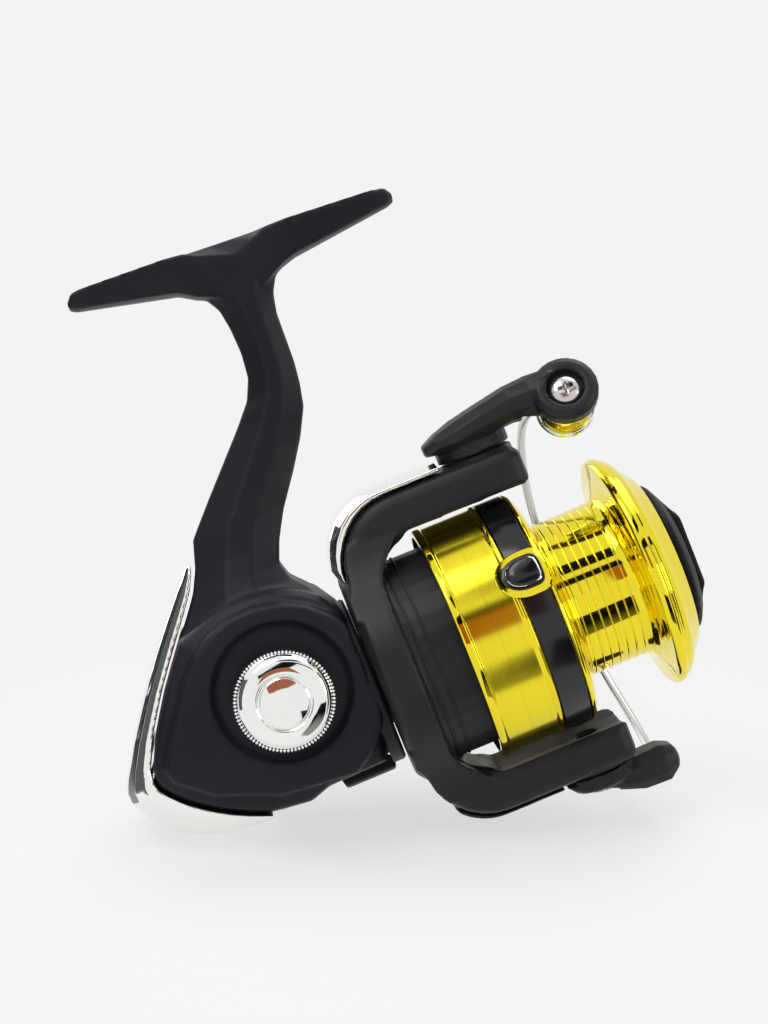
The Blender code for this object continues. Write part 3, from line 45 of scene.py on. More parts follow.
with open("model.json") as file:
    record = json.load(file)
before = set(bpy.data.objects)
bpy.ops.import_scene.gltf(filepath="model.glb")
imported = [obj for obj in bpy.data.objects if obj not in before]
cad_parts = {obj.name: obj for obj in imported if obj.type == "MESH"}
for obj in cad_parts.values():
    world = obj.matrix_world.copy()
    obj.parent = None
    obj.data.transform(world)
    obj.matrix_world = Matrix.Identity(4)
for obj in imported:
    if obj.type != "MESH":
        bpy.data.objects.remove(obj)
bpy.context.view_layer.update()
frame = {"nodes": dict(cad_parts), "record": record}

MM = 0.001
JOINTS = {joint["name"]: joint for joint in frame["record"]["behaviour"]["joints"]}


# ---------------------------------------------------------------- places


def frame_on(origin, along, up=(0, 0, 1)):
    """A matrix whose Z lies along an axis of the reel, and whose X lies across it, level with up."""
    z = Vector(along).normalized()
    y = z.cross(Vector(up)).normalized()
    x = y.cross(z)
    turn = Matrix((x, y, z)).transposed().to_4x4()
    return Matrix.Translation(Vector(origin)) @ turn


def joint_frame(name):
    return frame_on(JOINTS[name]["pos_m"], JOINTS[name]["axis"])


SPOOL = joint_frame("spool_slip")
DRIVE = joint_frame("handle_turn")
KNOB = joint_frame("knob_spin")
ROLLER = joint_frame("roller_spin")


SPOOL_AXIS = Vector(JOINTS["spool_slip"]["axis"])
SPOOL_UP = SPOOL_AXIS.cross(Vector((0, 1, 0)))


def on_spool(u, y, w):
    """A point given along the spool's axis, to the handle's side and up, in millimetres."""
    return Vector(JOINTS["spool_slip"]["pos_m"]) + (SPOOL_AXIS * u + Vector((0, y, 0)) + SPOOL_UP * w) * MM


# ---------------------------------------------------------------- shader tools


class Wire:
    """An output socket that takes part in sums: each operator adds the Math node it needs."""

    def __init__(self, paint, socket):
        self.paint = paint
        self.socket = socket

    def maths(self, operation, first, second):
        return self.paint.node("ShaderNodeMath", {"operation": operation}, {0: first, 1: second})

    def __add__(self, other):
        return self.maths("ADD", self, other)

    def __sub__(self, other):
        return self.maths("SUBTRACT", self, other)

    def __rsub__(self, other):
        return self.maths("SUBTRACT", other, self)

    def __mul__(self, other):
        return self.maths("MULTIPLY", self, other)

    __radd__ = __add__


class Paint:
    """A material or a world under construction."""

    def __init__(self, block, surface):
        block.use_nodes = True
        self.block = block
        self.tree = block.node_tree
        self.surface = self.tree.nodes[surface]

    def node(self, kind, settings=None, values=None, output=0):
        made = self.tree.nodes.new(kind)
        for name, setting in (settings or {}).items():
            setattr(made, name, setting)
        for key, value in (values or {}).items():
            self.join(made.inputs[key], value)
        return Wire(self, made.outputs[output])

    def join(self, socket, value):
        if isinstance(value, Wire):
            self.tree.links.new(value.socket, socket)
        else:
            socket.default_value = value

    def set(self, **values):
        for name, value in values.items():
            self.join(self.surface.inputs[name.replace("_", " ")], value)

    def place(self, matrix, scale):
        """Object coordinates seen from a part's own axis, each direction multiplied by its scale."""
        spot = self.node("ShaderNodeTexCoord", output="Object")
        turned = self.node("ShaderNodeMapping", {"vector_type": "TEXTURE"},
                           {"Vector": spot, "Location": matrix.translation, "Rotation": matrix.to_euler()})
        return self.node("ShaderNodeVectorMath", {"operation": "MULTIPLY"}, {0: turned, 1: scale})

    def noise(self, scale, detail=2.0, where=None):
        spot = where or self.node("ShaderNodeTexCoord", output="Object")
        return self.node("ShaderNodeTexNoise", None, {"Vector": spot, "Scale": scale, "Detail": detail})

    def blend(self, share, first, second):
        factor, a, b, result = 0, 6, 7, 2  # the Mix node's sockets for colours
        return self.node("ShaderNodeMix", {"data_type": "RGBA"}, {factor: share, a: first, b: second}, result)

    def spread(self, value, low, high, least=0.0, most=1.0, shape="LINEAR"):
        """A value's stretch from low to high, laid out from least to most."""
        return self.node("ShaderNodeMapRange", {"interpolation_type": shape},
                         {"Value": value, "From Min": low, "From Max": high, "To Min": least, "To Max": most})

    def relief(self, height, strength, depth):
        bump = self.node("ShaderNodeBump", None, {"Height": height, "Strength": strength, "Distance": depth})
        self.join(self.surface.inputs["Normal"], bump)


def new_paint(name):
    return Paint(bpy.data.materials.new(name), "Principled BSDF")


def rgba(colour):
    return (*tuple(colour)[:3], 1.0)


def soft_touch(name, colour, gloss):
    """A rubbery coat over plastic: a fine even grain, and slightly uneven gloss."""
    paint = new_paint(name)
    grain = paint.noise(3200, 3)
    drift = paint.noise(60, 2)
    fade = paint.spread(drift, 0.35, 0.65)
    paint.set(Base_Color=paint.blend(fade, rgba(colour), rgba([c * 1.35 for c in colour])),
              Roughness=gloss + (drift - 0.5) * 0.12)
    paint.surface.inputs["Specular IOR Level"].default_value = 0.22
    paint.relief(grain, 0.16, 0.00003)
    return paint.block


def moulded(name, colour, gloss, specular=0.25):
    """Plain moulded plastic with the faint texture of its mould."""
    paint = new_paint(name)
    grain = paint.noise(2200, 2)
    drift = paint.noise(90, 3)
    paint.set(Base_Color=paint.blend(drift, rgba([c * 0.8 for c in colour]), rgba([c * 1.2 for c in colour])),
              Roughness=gloss + (drift - 0.5) * 0.1)
    paint.surface.inputs["Specular IOR Level"].default_value = specular
    paint.relief(grain, 0.12, 0.00002)
    return paint.block


def plated(name, colour, gloss):
    """Bright plating: mirror-like, with faint ripples and handling marks."""
    paint = new_paint(name)
    ripple = paint.noise(120, 1)
    marks = paint.noise(900, 4)
    fine = paint.spread(marks, 0.55, 0.75, most=0.06)
    paint.set(Base_Color=rgba(colour), Metallic=1.0, Roughness=gloss + fine)
    paint.relief(ripple, 0.06, 0.0004)
    return paint.block


def turned_metal(name, colour, gloss, axis, marks=0.3, deep=(0.75, 0.5, 0.3)):
    """Metal finished on a lathe: fine grooves run round the axis, so they vary only along it."""
    paint = new_paint(name)
    along = paint.place(axis, (0.0, 0.0, 1.0))
    groove = paint.noise(9000, 3, along)
    broad = paint.noise(1400, 2, along)
    stain = paint.noise(140, 3)
    shade = paint.spread(broad, 0.3, 0.7)
    darker = [c * (1 - 0.22 * d) for c, d in zip(colour, deep)]
    paint.set(Base_Color=paint.blend(shade, rgba(colour), rgba(darker)), Metallic=1.0,
              Roughness=gloss + (stain - 0.5) * 0.06 + (groove - 0.5) * 0.08)
    paint.relief(groove, marks, 0.00002)
    return paint.block


def cloth(name, colour):
    paint = new_paint(name)
    fibre = paint.noise(2600, 5)
    paint.set(Base_Color=paint.blend(fibre, rgba([c * 0.6 for c in colour]), rgba(colour)), Roughness=0.95)
    paint.relief(fibre, 0.6, 0.0001)
    return paint.block


# ---------------------------------------------------------------- mesh tools


def in_scene(name, data):
    obj = bpy.data.objects.new(name, data)
    bpy.context.scene.collection.objects.link(obj)
    return obj


def mesh_of(name, bm):
    """The mesh of a finished bmesh, which is freed."""
    mesh = bpy.data.meshes.new(name)
    bm.to_mesh(mesh)
    bm.free()
    return mesh


def bridge(bm, rings):
    """Faces from each ring of corners to the next."""
    for low, high in zip(rings, rings[1:]):
        for i in range(len(low)):
            j = (i + 1) % len(low)
            bm.faces.new((low[i], low[j], high[j], high[i]))


def finish_mesh(name, mesh, finish, angle=32):
    mesh.name = name
    mesh.shade_smooth()
    mesh.set_sharp_from_angle(angle=math.radians(angle))
    mesh.materials.clear()
    mesh.materials.append(finish)
    return in_scene(name, mesh)


def applied(obj):
    """The object's evaluated mesh. The object itself is used up."""
    bpy.context.view_layer.update()
    graph = bpy.context.evaluated_depsgraph_get()
    mesh = bpy.data.meshes.new_from_object(obj.evaluated_get(graph))
    old = obj.data
    bpy.data.objects.remove(obj, do_unlink=True)
    if isinstance(old, bpy.types.Mesh) and not old.users:
        bpy.data.meshes.remove(old)
    return mesh


def filleted(profile, radius, steps=4):
    """A profile whose corners are rounded by up to a radius."""
    out = [profile[0]]
    for before, corner, after in zip(profile, profile[1:], profile[2:]):
        a, b, c = Vector(before), Vector(corner), Vector(after)
        reach = min(radius, (a - b).length * 0.45, (c - b).length * 0.45)
        start, end = b + (a - b).normalized() * reach, b + (c - b).normalized() * reach
        for i in range(steps + 1):
            t = i / steps
            out.append(tuple(start * (1 - t) ** 2 + b * 2 * t * (1 - t) + end * t * t))
    return [*out, profile[-1]]


def lathe(name, profile, axis, finish, steps=128, angle=32):
    """A closed profile of (distance along, radius) in millimetres, turned about the Z of a frame."""
    bm = bmesh.new()
    ring = profile[0][1] > 0 and profile[-1][1] > 0
    rows = []
    for along, radius in profile:
        if radius <= 0:
            rows.append([bm.verts.new((0, 0, along))])
            continue
        rows.append([bm.verts.new((radius * math.cos(a), radius * math.sin(a), along))
                     for a in (math.tau * i / steps for i in range(steps))])
    pairs = list(zip(rows, rows[1:] + rows[:1] if ring else rows[1:]))
    for low, high in pairs:
        for i in range(steps):
            j = (i + 1) % steps
            corners = [low[i % len(low)], low[j % len(low)], high[j % len(high)], high[i % len(high)]]
            unique = list(dict.fromkeys(corners))
            if len(unique) > 2:
                bm.faces.new(unique)
    bmesh.ops.recalc_face_normals(bm, faces=bm.faces)
    mesh = mesh_of(name, bm)
    mesh.transform(axis @ Matrix.Scale(MM, 4))
    return finish_mesh(name, mesh, finish, angle)


def refined(name, node, voxel, relax, finish, angle=50, extras=()):
    """The fine surface of a moulded or cast solid: its copy remeshed, with the edges relaxed to small radii.

    Extra pieces grow into it, and are used up."""
    bm = bmesh.new()
    bm.from_mesh(frame["nodes"][node].data)
    for extra in extras:
        bm.from_mesh(extra.data)
        bpy.data.meshes.remove(extra.data)
    bmesh.ops.remove_doubles(bm, verts=bm.verts, dist=2e-6)
    obj = in_scene(name, mesh_of(name, bm))
    remesh = obj.modifiers.new("remesh", "REMESH")
    remesh.mode = "VOXEL"
    remesh.voxel_size = voxel * MM
    smooth = obj.modifiers.new("smooth", "SMOOTH")
    smooth.factor = 0.5
    smooth.iterations = relax
    return finish_mesh(name, applied(obj), finish, angle)


def stacked(name, levels, finish):
    """A closed form through four-cornered sections, with points given as on_spool takes them."""
    bm = bmesh.new()
    rings = [[bm.verts.new(on_spool(*point)) for point in level] for level in levels]
    bridge(bm, rings)
    bm.faces.new(rings[0])
    bm.faces.new(rings[-1])
    bmesh.ops.recalc_face_normals(bm, faces=bm.faces)
    return finish_mesh(name, mesh_of(name, bm), finish)


def patch(name, outline, levels, centre, radius, angle, finish):
    """A low raised shape on the spool's skirt. A level is a share of the outline and a height."""
    bm = bmesh.new()

    def point(u, v, height):
        turn = angle + v / radius
        reach = radius + height
        return on_spool(centre + u, -reach * math.cos(turn), reach * math.sin(turn))

    rings = [[bm.verts.new(point(u * share, v * share, height)) for u, v in outline]
             for share, height in levels]
    bridge(bm, rings)
    for ring, height in ((rings[0], levels[0][1]), (rings[-1], levels[-1][1])):
        middle = bm.verts.new(point(0, 0, height))
        for i in range(len(outline)):
            bm.faces.new((ring[i], ring[(i + 1) % len(outline)], middle))
    bmesh.ops.recalc_face_normals(bm, faces=bm.faces)
    return finish_mesh(name, mesh_of(name, bm), finish)


def rounded_d(length, width, grow, count=48):
    """A D whose straight end faces the spool's front and whose round point faces the rear."""
    points = []
    for i in range(count):
        across, side = math.cos(math.tau * i / count), math.sin(math.tau * i / count)
        reach, square, shoulder = (0.42, 0.42, 0.6) if across > 0 else (0.58, 1.0, 0.85)
        points.append((math.copysign(abs(across) ** square, across) * (length * reach + grow),
                       math.copysign(abs(side) ** shoulder, side) * (width / 2 + grow)))
    return points


class Tree:
    """A Geometry Nodes tree under construction, with named inputs for its sizes."""

    def __init__(self, name, inputs):
        self.group = bpy.data.node_groups.new(name, "GeometryNodeTree")
        self.group.interface.new_socket("Geometry", in_out="OUTPUT", socket_type="NodeSocketGeometry")
        self.sockets = {}
        for label, kind, value in inputs:
            made = self.group.interface.new_socket(label, in_out="INPUT", socket_type=kind)
            if value is not None:
                made.default_value = value
            self.sockets[label] = made.identifier
        self.entry = self.group.nodes.new("NodeGroupInput")
        self.exit = self.group.nodes.new("NodeGroupOutput")

    def node(self, kind, settings=None, values=None, output=0):
        made = self.group.nodes.new(kind)
        for name, setting in (settings or {}).items():
            setattr(made, name, setting)
        for key, value in (values or {}).items():
            if isinstance(value, bpy.types.NodeSocket):
                self.group.links.new(value, made.inputs[key])
            else:
                made.inputs[key].default_value = value
        return made.outputs[output]

    def given(self, label):
        return self.entry.outputs[label]

    def realised(self, geometry, values, name):
        """The tree's result as a plain mesh."""
        real = self.node("GeometryNodeRealizeInstances", None, {0: geometry})
        set_finish = self.node("GeometryNodeSetMaterial", None,
                               {"Geometry": real, "Material": self.given("Material")})
        self.group.links.new(set_finish, self.exit.inputs[0])
        obj = in_scene(name, bpy.data.meshes.new(name))
        step = obj.modifiers.new("nodes", "NODES")
        step.node_group = self.group
        for label, value in values.items():
            step[self.sockets[label]] = value
        return applied(obj)


def teeth_round(name, count, radius, size, finish, axis, shift):
    """Straight teeth standing round a rim: one ridge, turned edge outwards, instanced on a circle."""
    tree = Tree(name, [("Count", "NodeSocketInt", count), ("Radius", "NodeSocketFloat", radius),
                       ("Size", "NodeSocketVector", size), ("Material", "NodeSocketMaterial", None)])
    rim = tree.node("GeometryNodeMeshCircle", None,
                    {"Vertices": tree.given("Count"), "Radius": tree.given("Radius")})
    ridge = tree.node("GeometryNodeMeshCylinder", {"fill_type": "NGON"},
                      {"Vertices": 4, "Radius": 0.5, "Depth": 1.0}, "Mesh")
    place = tree.node("GeometryNodeInputPosition")
    aim = tree.node("FunctionNodeAlignRotationToVector", {"axis": "X"}, {"Vector": place})
    standing = tree.node("GeometryNodeInstanceOnPoints", None,
                         {"Points": rim, "Instance": ridge, "Rotation": aim, "Scale": tree.given("Size")})
    mesh = tree.realised(standing, {"Count": count, "Radius": radius, "Size": size, "Material": finish}, name)
    mesh.transform(axis @ Matrix.Translation((0, 0, shift * MM)) @ Matrix.Scale(MM, 4))
    return finish_mesh(name, mesh, finish, 20)


def rings_along(name, count, first, pitch, radius, thick, finish, axis):
    """Rounded rings in a row along an axis, instanced on a line of points."""
    tree = Tree(name, [("Count", "NodeSocketInt", count), ("Pitch", "NodeSocketFloat", pitch),
                       ("Radius", "NodeSocketFloat", radius), ("Thickness", "NodeSocketFloat", thick),
                       ("Material", "NodeSocketMaterial", None)])
    offset = tree.node("ShaderNodeCombineXYZ", None, {"Z": tree.given("Pitch")})
    row = tree.node("GeometryNodeMeshLine", {"mode": "OFFSET"},
                    {"Count": tree.given("Count"), "Offset": offset})
    hoop = tree.node("GeometryNodeCurvePrimitiveCircle", {"mode": "RADIUS"},
                     {"Resolution": 144, "Radius": tree.given("Radius")})
    section = tree.node("GeometryNodeCurvePrimitiveCircle", {"mode": "RADIUS"},
                        {"Resolution": 12, "Radius": tree.given("Thickness")})
    ring = tree.node("GeometryNodeCurveToMesh", None, {"Curve": hoop, "Profile Curve": section})
    rings = tree.node("GeometryNodeInstanceOnPoints", None, {"Points": row, "Instance": ring})
    mesh = tree.realised(rings, {"Count": count, "Pitch": pitch, "Radius": radius, "Thickness": thick,
                                 "Material": finish}, name)
    mesh.transform(axis @ Matrix.Translation((0, 0, first * MM)) @ Matrix.Scale(MM, 4))
    return finish_mesh(name, mesh, finish)


def cross_screw(name, head, dome, axis, finish):
    """A pan head with a cross recess, its face towards the negative side of the axis."""
    seat, brim = 1.15, 0.35
    profile = [(seat, 0), (seat, head), (brim, head), (-0.35 * dome, head * 0.55), (-0.5 * dome, 0)]
    body = lathe(name, filleted(profile, head * 0.2), Matrix.Identity(4), finish, 64)
    for turn in (0, math.pi / 2):
        bm = bmesh.new()
        bmesh.ops.create_cube(bm, size=1)
        for vert in bm.verts:
            deep = vert.co.z > 0
            length, width, level = (0.6, 0.16, 0.75) if deep else (1.35, 0.32, -1.2)
            vert.co = (vert.co.x * head * length, vert.co.y * head * width, level)
        bmesh.ops.scale(bm, vec=(MM, MM, MM), verts=bm.verts)
        bmesh.ops.rotate(bm, cent=(0, 0, 0), matrix=Matrix.Rotation(turn, 3, "Z"), verts=bm.verts)
        bmesh.ops.recalc_face_normals(bm, faces=bm.faces)
        cut = mesh_of("recess", bm)
        cutter = in_scene("recess", cut)
        step = body.modifiers.new("recess", "BOOLEAN")
        step.object = cutter
        step.solver = "EXACT"
        body = finish_mesh(name, applied(body), finish)
        bpy.data.objects.remove(cutter, do_unlink=True)
        bpy.data.meshes.remove(cut)
    body.data.transform(axis)
    return body


def keep(obj, body, slot, *nodes):
    """Rides a piece on its body, in place of the plain solids that it stands for."""
    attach(obj, body)
    if nodes:
        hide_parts(*nodes)


# ---------------------------------------------------------------- sizes and colours


def size(label, description, default, **limits):
    return bpy.props.FloatProperty(name=label, description=description, default=default, unit="LENGTH",
                                   precision=5, **limits)


def tint(label, description, default):
    return bpy.props.FloatVectorProperty(name=label, description=description, default=default,
                                         subtype="COLOR", size=3, min=0, max=1)


class ReelSizes(bpy.types.PropertyGroup):
    """Sizes of the fine surfaces."""

    case_detail: size("Case detail", "Grid size of the case's fine surface", 0.00045, min=0.0003)
    arm_detail: size("Arm detail", "Grid size of the rotor's, bail's and handle's fine surfaces", 0.00036,
                     min=0.0002)
    knurl_teeth: bpy.props.IntProperty(name="Knurl teeth", description="Teeth round the cap's rim",
                                       default=85, min=12)
    knurl_rim: size("Knurl radius", "Radius that the cap's teeth stand on", 0.00815, min=0.001)
    arbor_rings: bpy.props.IntProperty(name="Arbor rings", description="Fine rings on the arbor", default=7,
                                       min=1)
    arbor_radius: size("Arbor radius", "Radius of the arbor under its rings", 0.0142, min=0.005)
    skirt_radius: size("Skirt radius", "Radius of the spool's skirt", 0.0214, min=0.01)
    wire_radius: size("Wire radius", "Radius of the bail's wire", 0.0008, min=0.0003)
    key_power: bpy.props.FloatProperty(name="Key light", description="Power of the main lamp", default=1.5,
                                       unit="POWER", min=0)


class ReelColours(bpy.types.PropertyGroup):
    """Colours of the finishes."""

    case: tint("Case", "Rubbery coat of the case and foot", (0.0102, 0.0092, 0.0145))
    moulding: tint("Mouldings", "Plain black mouldings of the rotor and bail", (0.0190, 0.0184, 0.0214))
    knob: tint("Drag knob", "Black of the drag knob", (0.0030, 0.0030, 0.0035))
    plating: tint("Plating", "Bright plating of the rear cover, trim and cap", (0.90, 0.92, 0.89))
    gold: tint("Gold", "Gold anodising of the spool", (0.98, 0.79, 0.035))
    band: tint("Band", "Gloss black band of the skirt", (0.006, 0.006, 0.007))
    steel: tint("Steel", "Stainless steel of the wire and screws", (0.66, 0.64, 0.61))
    ground: tint("Floor", "Pale floor", (0.92, 0.92, 0.92))
    backdrop: tint("Backdrop", "Pale backdrop", (0.896, 0.896, 0.896))


def sizes():
    return bpy.context.scene.reel_sizes


def colours():
    return bpy.context.scene.reel_colours


def finish_of(name):
    """A finish by its name, made the first time that it is asked for."""
    made = bpy.data.materials.get(name)
    if made:
        return made
    c = colours()
    makers = {
        "case_coat": lambda: soft_touch(name, c.case, 0.47),
        "black_moulding": lambda: moulded(name, c.moulding, 0.42),
        "knob_black": lambda: moulded(name, c.knob, 0.5, 0.18),
        "grip_rubber": lambda: soft_touch(name, [0.012] * 3, 0.62),
        "bright_plate": lambda: plated(name, c.plating, 0.05),
        "spool_gold": lambda: turned_metal(name, c.gold, 0.17, SPOOL),
        "polished_gold": lambda: turned_metal(name, c.gold, 0.06, SPOOL, 0.03),
        "roller_gold": lambda: turned_metal(name, [g * 0.75 for g in c.gold], 0.2, ROLLER, 0.1),
        "band_gloss": lambda: moulded(name, c.band, 0.16, 0.5),
        "stainless": lambda: turned_metal(name, c.steel, 0.2, SPOOL, 0.08, (0.4, 0.4, 0.4)),
        "roller_steel": lambda: turned_metal(name, c.plating, 0.1, ROLLER, 0.1, (0.3, 0.3, 0.3)),
        "cast_zinc": lambda: turned_metal(name, (0.46, 0.46, 0.48), 0.42, DRIVE, 0.3, (0.5, 0.5, 0.5)),
        "turned_brass": lambda: turned_metal(name, (0.72, 0.53, 0.22), 0.25, SPOOL),
        "drag_felt": lambda: cloth(name, (0.3, 0.26, 0.2)),
    }
    return makers[name]()


# ---------------------------------------------------------------- pieces


class Build(bpy.types.Operator):
    """A step of the reel's making."""

    bl_idname = "reel.build"
    bl_label = "Build"

    def execute(self, context):
        self.make()
        return {"FINISHED"}

    def make(self):
        raise NotImplementedError


class REEL_OT_case(Build):
    """Makes the case, stem and foot with soft edges, and the cover on the handle's side"""

    bl_idname = "reel.case"
    bl_label = "Case and foot"

    def make(self):
        detail = sizes().case_detail / MM
        coat = finish_of("case_coat")
        keep(refined("case_and_foot", "body_housing", detail, 4, coat), "housing", "body_housing",
             "body_housing")
        collar = [(-18.0, 12.0), (-18.0, 15.0), (-15.9, 15.0), (-15.5, 14.6), (-15.5, 12.0)]
        keep(lathe("neck_collar", filleted(collar, 0.2), SPOOL, coat), "housing", "body_housing")
        keep(refined("handle_side_cover", "side_cover", detail, 3, coat), "housing", "side_cover",
             "side_cover")
        lever = refined("reverse_lever", "anti_reverse_lever", 0.16, 3, finish_of("black_moulding"))
        keep(lever, "anti_reverse_lever", "anti_reverse_lever", "anti_reverse_lever")


class REEL_OT_rear_cover(Build):
    """Makes the bright cap over the back and bottom of the case"""

    bl_idname = "reel.rear_cover"
    bl_label = "Rear cover"

    def make(self):
        shell = refined("bright_rear_cover", "rear_cover", 0.24, 7, finish_of("bright_plate"))
        keep(shell, "housing", "rear_cover", "rear_cover")


class REEL_OT_cap(Build):
    """Turns the bright cap on the handle's shaft, and stands its knurl round the rim"""

    bl_idname = "reel.cap"
    bl_label = "Knurled cap"

    def make(self):
        plate = finish_of("bright_plate")
        face = -22.2
        profile = [(-4.0, 0), (-4.0, 1.9), (-15.8, 1.9), (-15.8, 7.3), (-16.5, 8.0), (-20.9, 8.0),
                   (face + 0.35, 7.35), (face, 6.9), (face - 0.45, 5.6), (face - 0.55, 4.8),
                   (face - 0.25, 4.5), (face - 0.25, 4.2), (face - 0.5, 4.0), (face - 0.75, 2.2),
                   (face - 0.85, 0)]
        body = lathe("cap_body", filleted(profile, 0.35), DRIVE, plate, 160)
        keep(body, "handle", "handle_cap", "handle_cap")
        s = sizes()
        knurl = teeth_round("cap_knurl", s.knurl_teeth, s.knurl_rim / MM, (0.62, 0.5, 4.5), plate, DRIVE,
                            -18.75)
        keep(knurl, "handle", "handle_cap")


class REEL_OT_rotor(Build):
    """Makes the rotor's cup and arms, the rings on its cup, its bright trim and the lower arm's cover"""

    bl_idname = "reel.rotor"
    bl_label = "Rotor"

    def make(self):
        detail = sizes().arm_detail / MM
        black = finish_of("black_moulding")
        rim = [(-15.1, 14.6), (-15.1, 18.2), (-13.9, 19.8), (-9.0, 19.8), (-8.4, 19.2), (-8.4, 14.6)]
        grown = [lathe("back_rim", rim, SPOOL, black, 160), *self.shoulders(black)]
        keep(refined("rotor_arms", "rotor", detail * 1.1, 5, black, extras=grown), "rotor", "rotor", "rotor")
        keep(refined("lower_cover", "lower_arm_cover", detail, 6, black), "rotor", "lower_arm_cover",
             "lower_arm_cover")
        trim = refined("bright_trim", "arm_trim", 0.2, 8, finish_of("bright_plate"))
        widening = 1.24
        trim.data.transform(Matrix.Diagonal((1, widening, 1, 1)))
        keep(trim, "rotor", "arm_trim", "arm_trim")
        rings = rings_along("cup_rings", 2, -6.9, 1.9, 18.25, 0.25, black, SPOOL)
        keep(rings, "rotor", "rotor")

    @staticmethod
    def shoulders(finish):
        """Fillets that carry each side of the back's rim up into the arms' flat sides."""
        root = 5  # how far inside the arms' sides each fillet starts
        levels = [  # height, back, front, distance out to the side
            (12.0, -15.0, -8.4, 15.7), (13.8, -15.0, -8.4, 14.4), (15.6, -15.0, -8.3, 12.9),
            (17.4, -13.9, -7.7, 11.6), (19.2, -13.5, -6.4, 10.5), (21.0, -13.2, -4.6, 9.6),
            (22.8, -12.4, -3.0, 8.9), (24.2, -11.6, -3.0, 8.4)]
        return [stacked("shoulder", [((back, side * root, up * height), (front, side * root, up * height),
                                      (front, side * out, up * height), (back, side * out, up * height))
                                     for height, back, front, out in levels], finish)
                for side in (-1, 1) for up in (-1, 1)]


class REEL_OT_spool(Build):
    """Turns the gold spool, with its arbor's rings, and the gloss band of its skirt"""

    bl_idname = "reel.spool"
    bl_label = "Spool"

    def make(self):
        s = sizes()
        skirt, arbor = s.skirt_radius / MM, s.arbor_radius / MM
        inner, start, end = skirt - 1.2, 11.7, 16.8
        outside = [(0, inner), (0, skirt - 0.15), (0.35, skirt), (1.3, skirt), (1.55, skirt - 0.35),
                   (start - 1.2, skirt - 0.35), (start - 0.7, skirt + 0.05), (start - 0.15, skirt + 0.05),
                   (start, skirt - 0.6), (end, skirt - 0.6), (end + 0.15, skirt), (end + 0.9, skirt - 0.35),
                   (end + 1.5, skirt - 1.6), (19.5, arbor + 1.2), (20.0, arbor), (30.4, arbor),
                   (31.5, arbor + 0.4), (32.2, arbor + 1.5)]
        lip = [(32.75, 18.0), (32.95, 20.2), (33.05, 20.8), (33.6, 21.2), (34.4, 21.2), (34.9, 20.95),
               (35.0, 20.55), (35.6, 20.45), (36.6, 19.6), (37.8, 17.7), (39.5, 15.6), (39.5, 12.2),
               (37.9, 9.85)]
        inside = [(30.4, 9.85), (30.4, 2.3), (12.5, 2.3), (12.5, 5.0), (21.2, 5.6), (22.2, arbor - 2.4),
                  (17.2, arbor - 1.6), (15.2, inner - 2), (13.8, inner)]
        polished = finish_of("polished_gold")
        body = lathe("gold_spool", filleted(outside + lip + inside, 0.3), SPOOL, polished, 192, 28)
        keep(body, "spool", "spool", "spool")
        brushed = [(1.7, skirt - 0.6), (1.7, skirt - 0.3), (start - 1.3, skirt - 0.3),
                   (start - 1.3, skirt - 0.6)]
        keep(lathe("skirt_face", brushed, SPOOL, finish_of("spool_gold"), 192), "spool", "spool")
        first, length = 19.9, 10.8
        pitch = length / s.arbor_rings
        rings = rings_along("arbor_rings", s.arbor_rings, first + pitch / 2, pitch, arbor, 0.15, polished,
                            SPOOL)
        keep(rings, "spool", "spool")
        band = [(start + 0.15, skirt - 0.45), (start + 0.15, skirt - 0.08), (end - 0.15, skirt - 0.08),
                (end - 0.15, skirt - 0.45)]
        hoop = lathe("gloss_band", filleted(band, 0.12), SPOOL, finish_of("band_gloss"), 192)
        keep(hoop, "spool", "skirt_band", "skirt_band")


class REEL_OT_line_clip(Build):
    """Makes the line clip: a black D with a bright outline, in a gold surround"""

    bl_idname = "reel.line_clip"
    bl_label = "Line clip"

    def make(self):
        skirt, middle, angle = sizes().skirt_radius / MM, 14.0, math.radians(27)
        gloss = finish_of("band_gloss")
        surround = patch("clip_surround", rounded_d(7.2, 6.4, 0.9),
                         [(1.0, -0.9), (1.0, 0.1), (0.94, 0.35), (0.82, 0.3)], middle, skirt, angle,
                         finish_of("polished_gold"))
        keep(surround, "spool", "spool")
        layers = (("clip_rim", (6.9, 5.8), [(1.0, -0.4), (1.0, 0.42), (0.96, 0.5), (0.88, 0.52)], gloss, ()),
                  ("clip_outline", (5.8, 4.7), [(1.0, -0.2), (1.0, 0.54), (0.97, 0.6), (0.9, 0.58)],
                   finish_of("bright_plate"), ()),
                  ("clip_face", (5.3, 4.2), [(1.0, -0.2), (1.0, 0.62), (0.9, 0.85), (0.6, 0.95)], gloss,
                   ("line_clip",)))
        for name, (length, width), levels, finish, nodes in layers:
            keep(patch(name, rounded_d(length, width, 0), levels, middle, skirt, angle, finish), "spool",
                 "line_clip", *nodes)


class REEL_OT_drag_knob(Build):
    """Makes the drag knob, with its grip bar"""

    bl_idname = "reel.drag_knob"
    bl_label = "Drag knob"

    def make(self):
        knob = refined("drag_dial", "drag_knob", 0.28, 4, finish_of("knob_black"))
        keep(knob, "drag_knob", "drag_knob", "drag_knob")


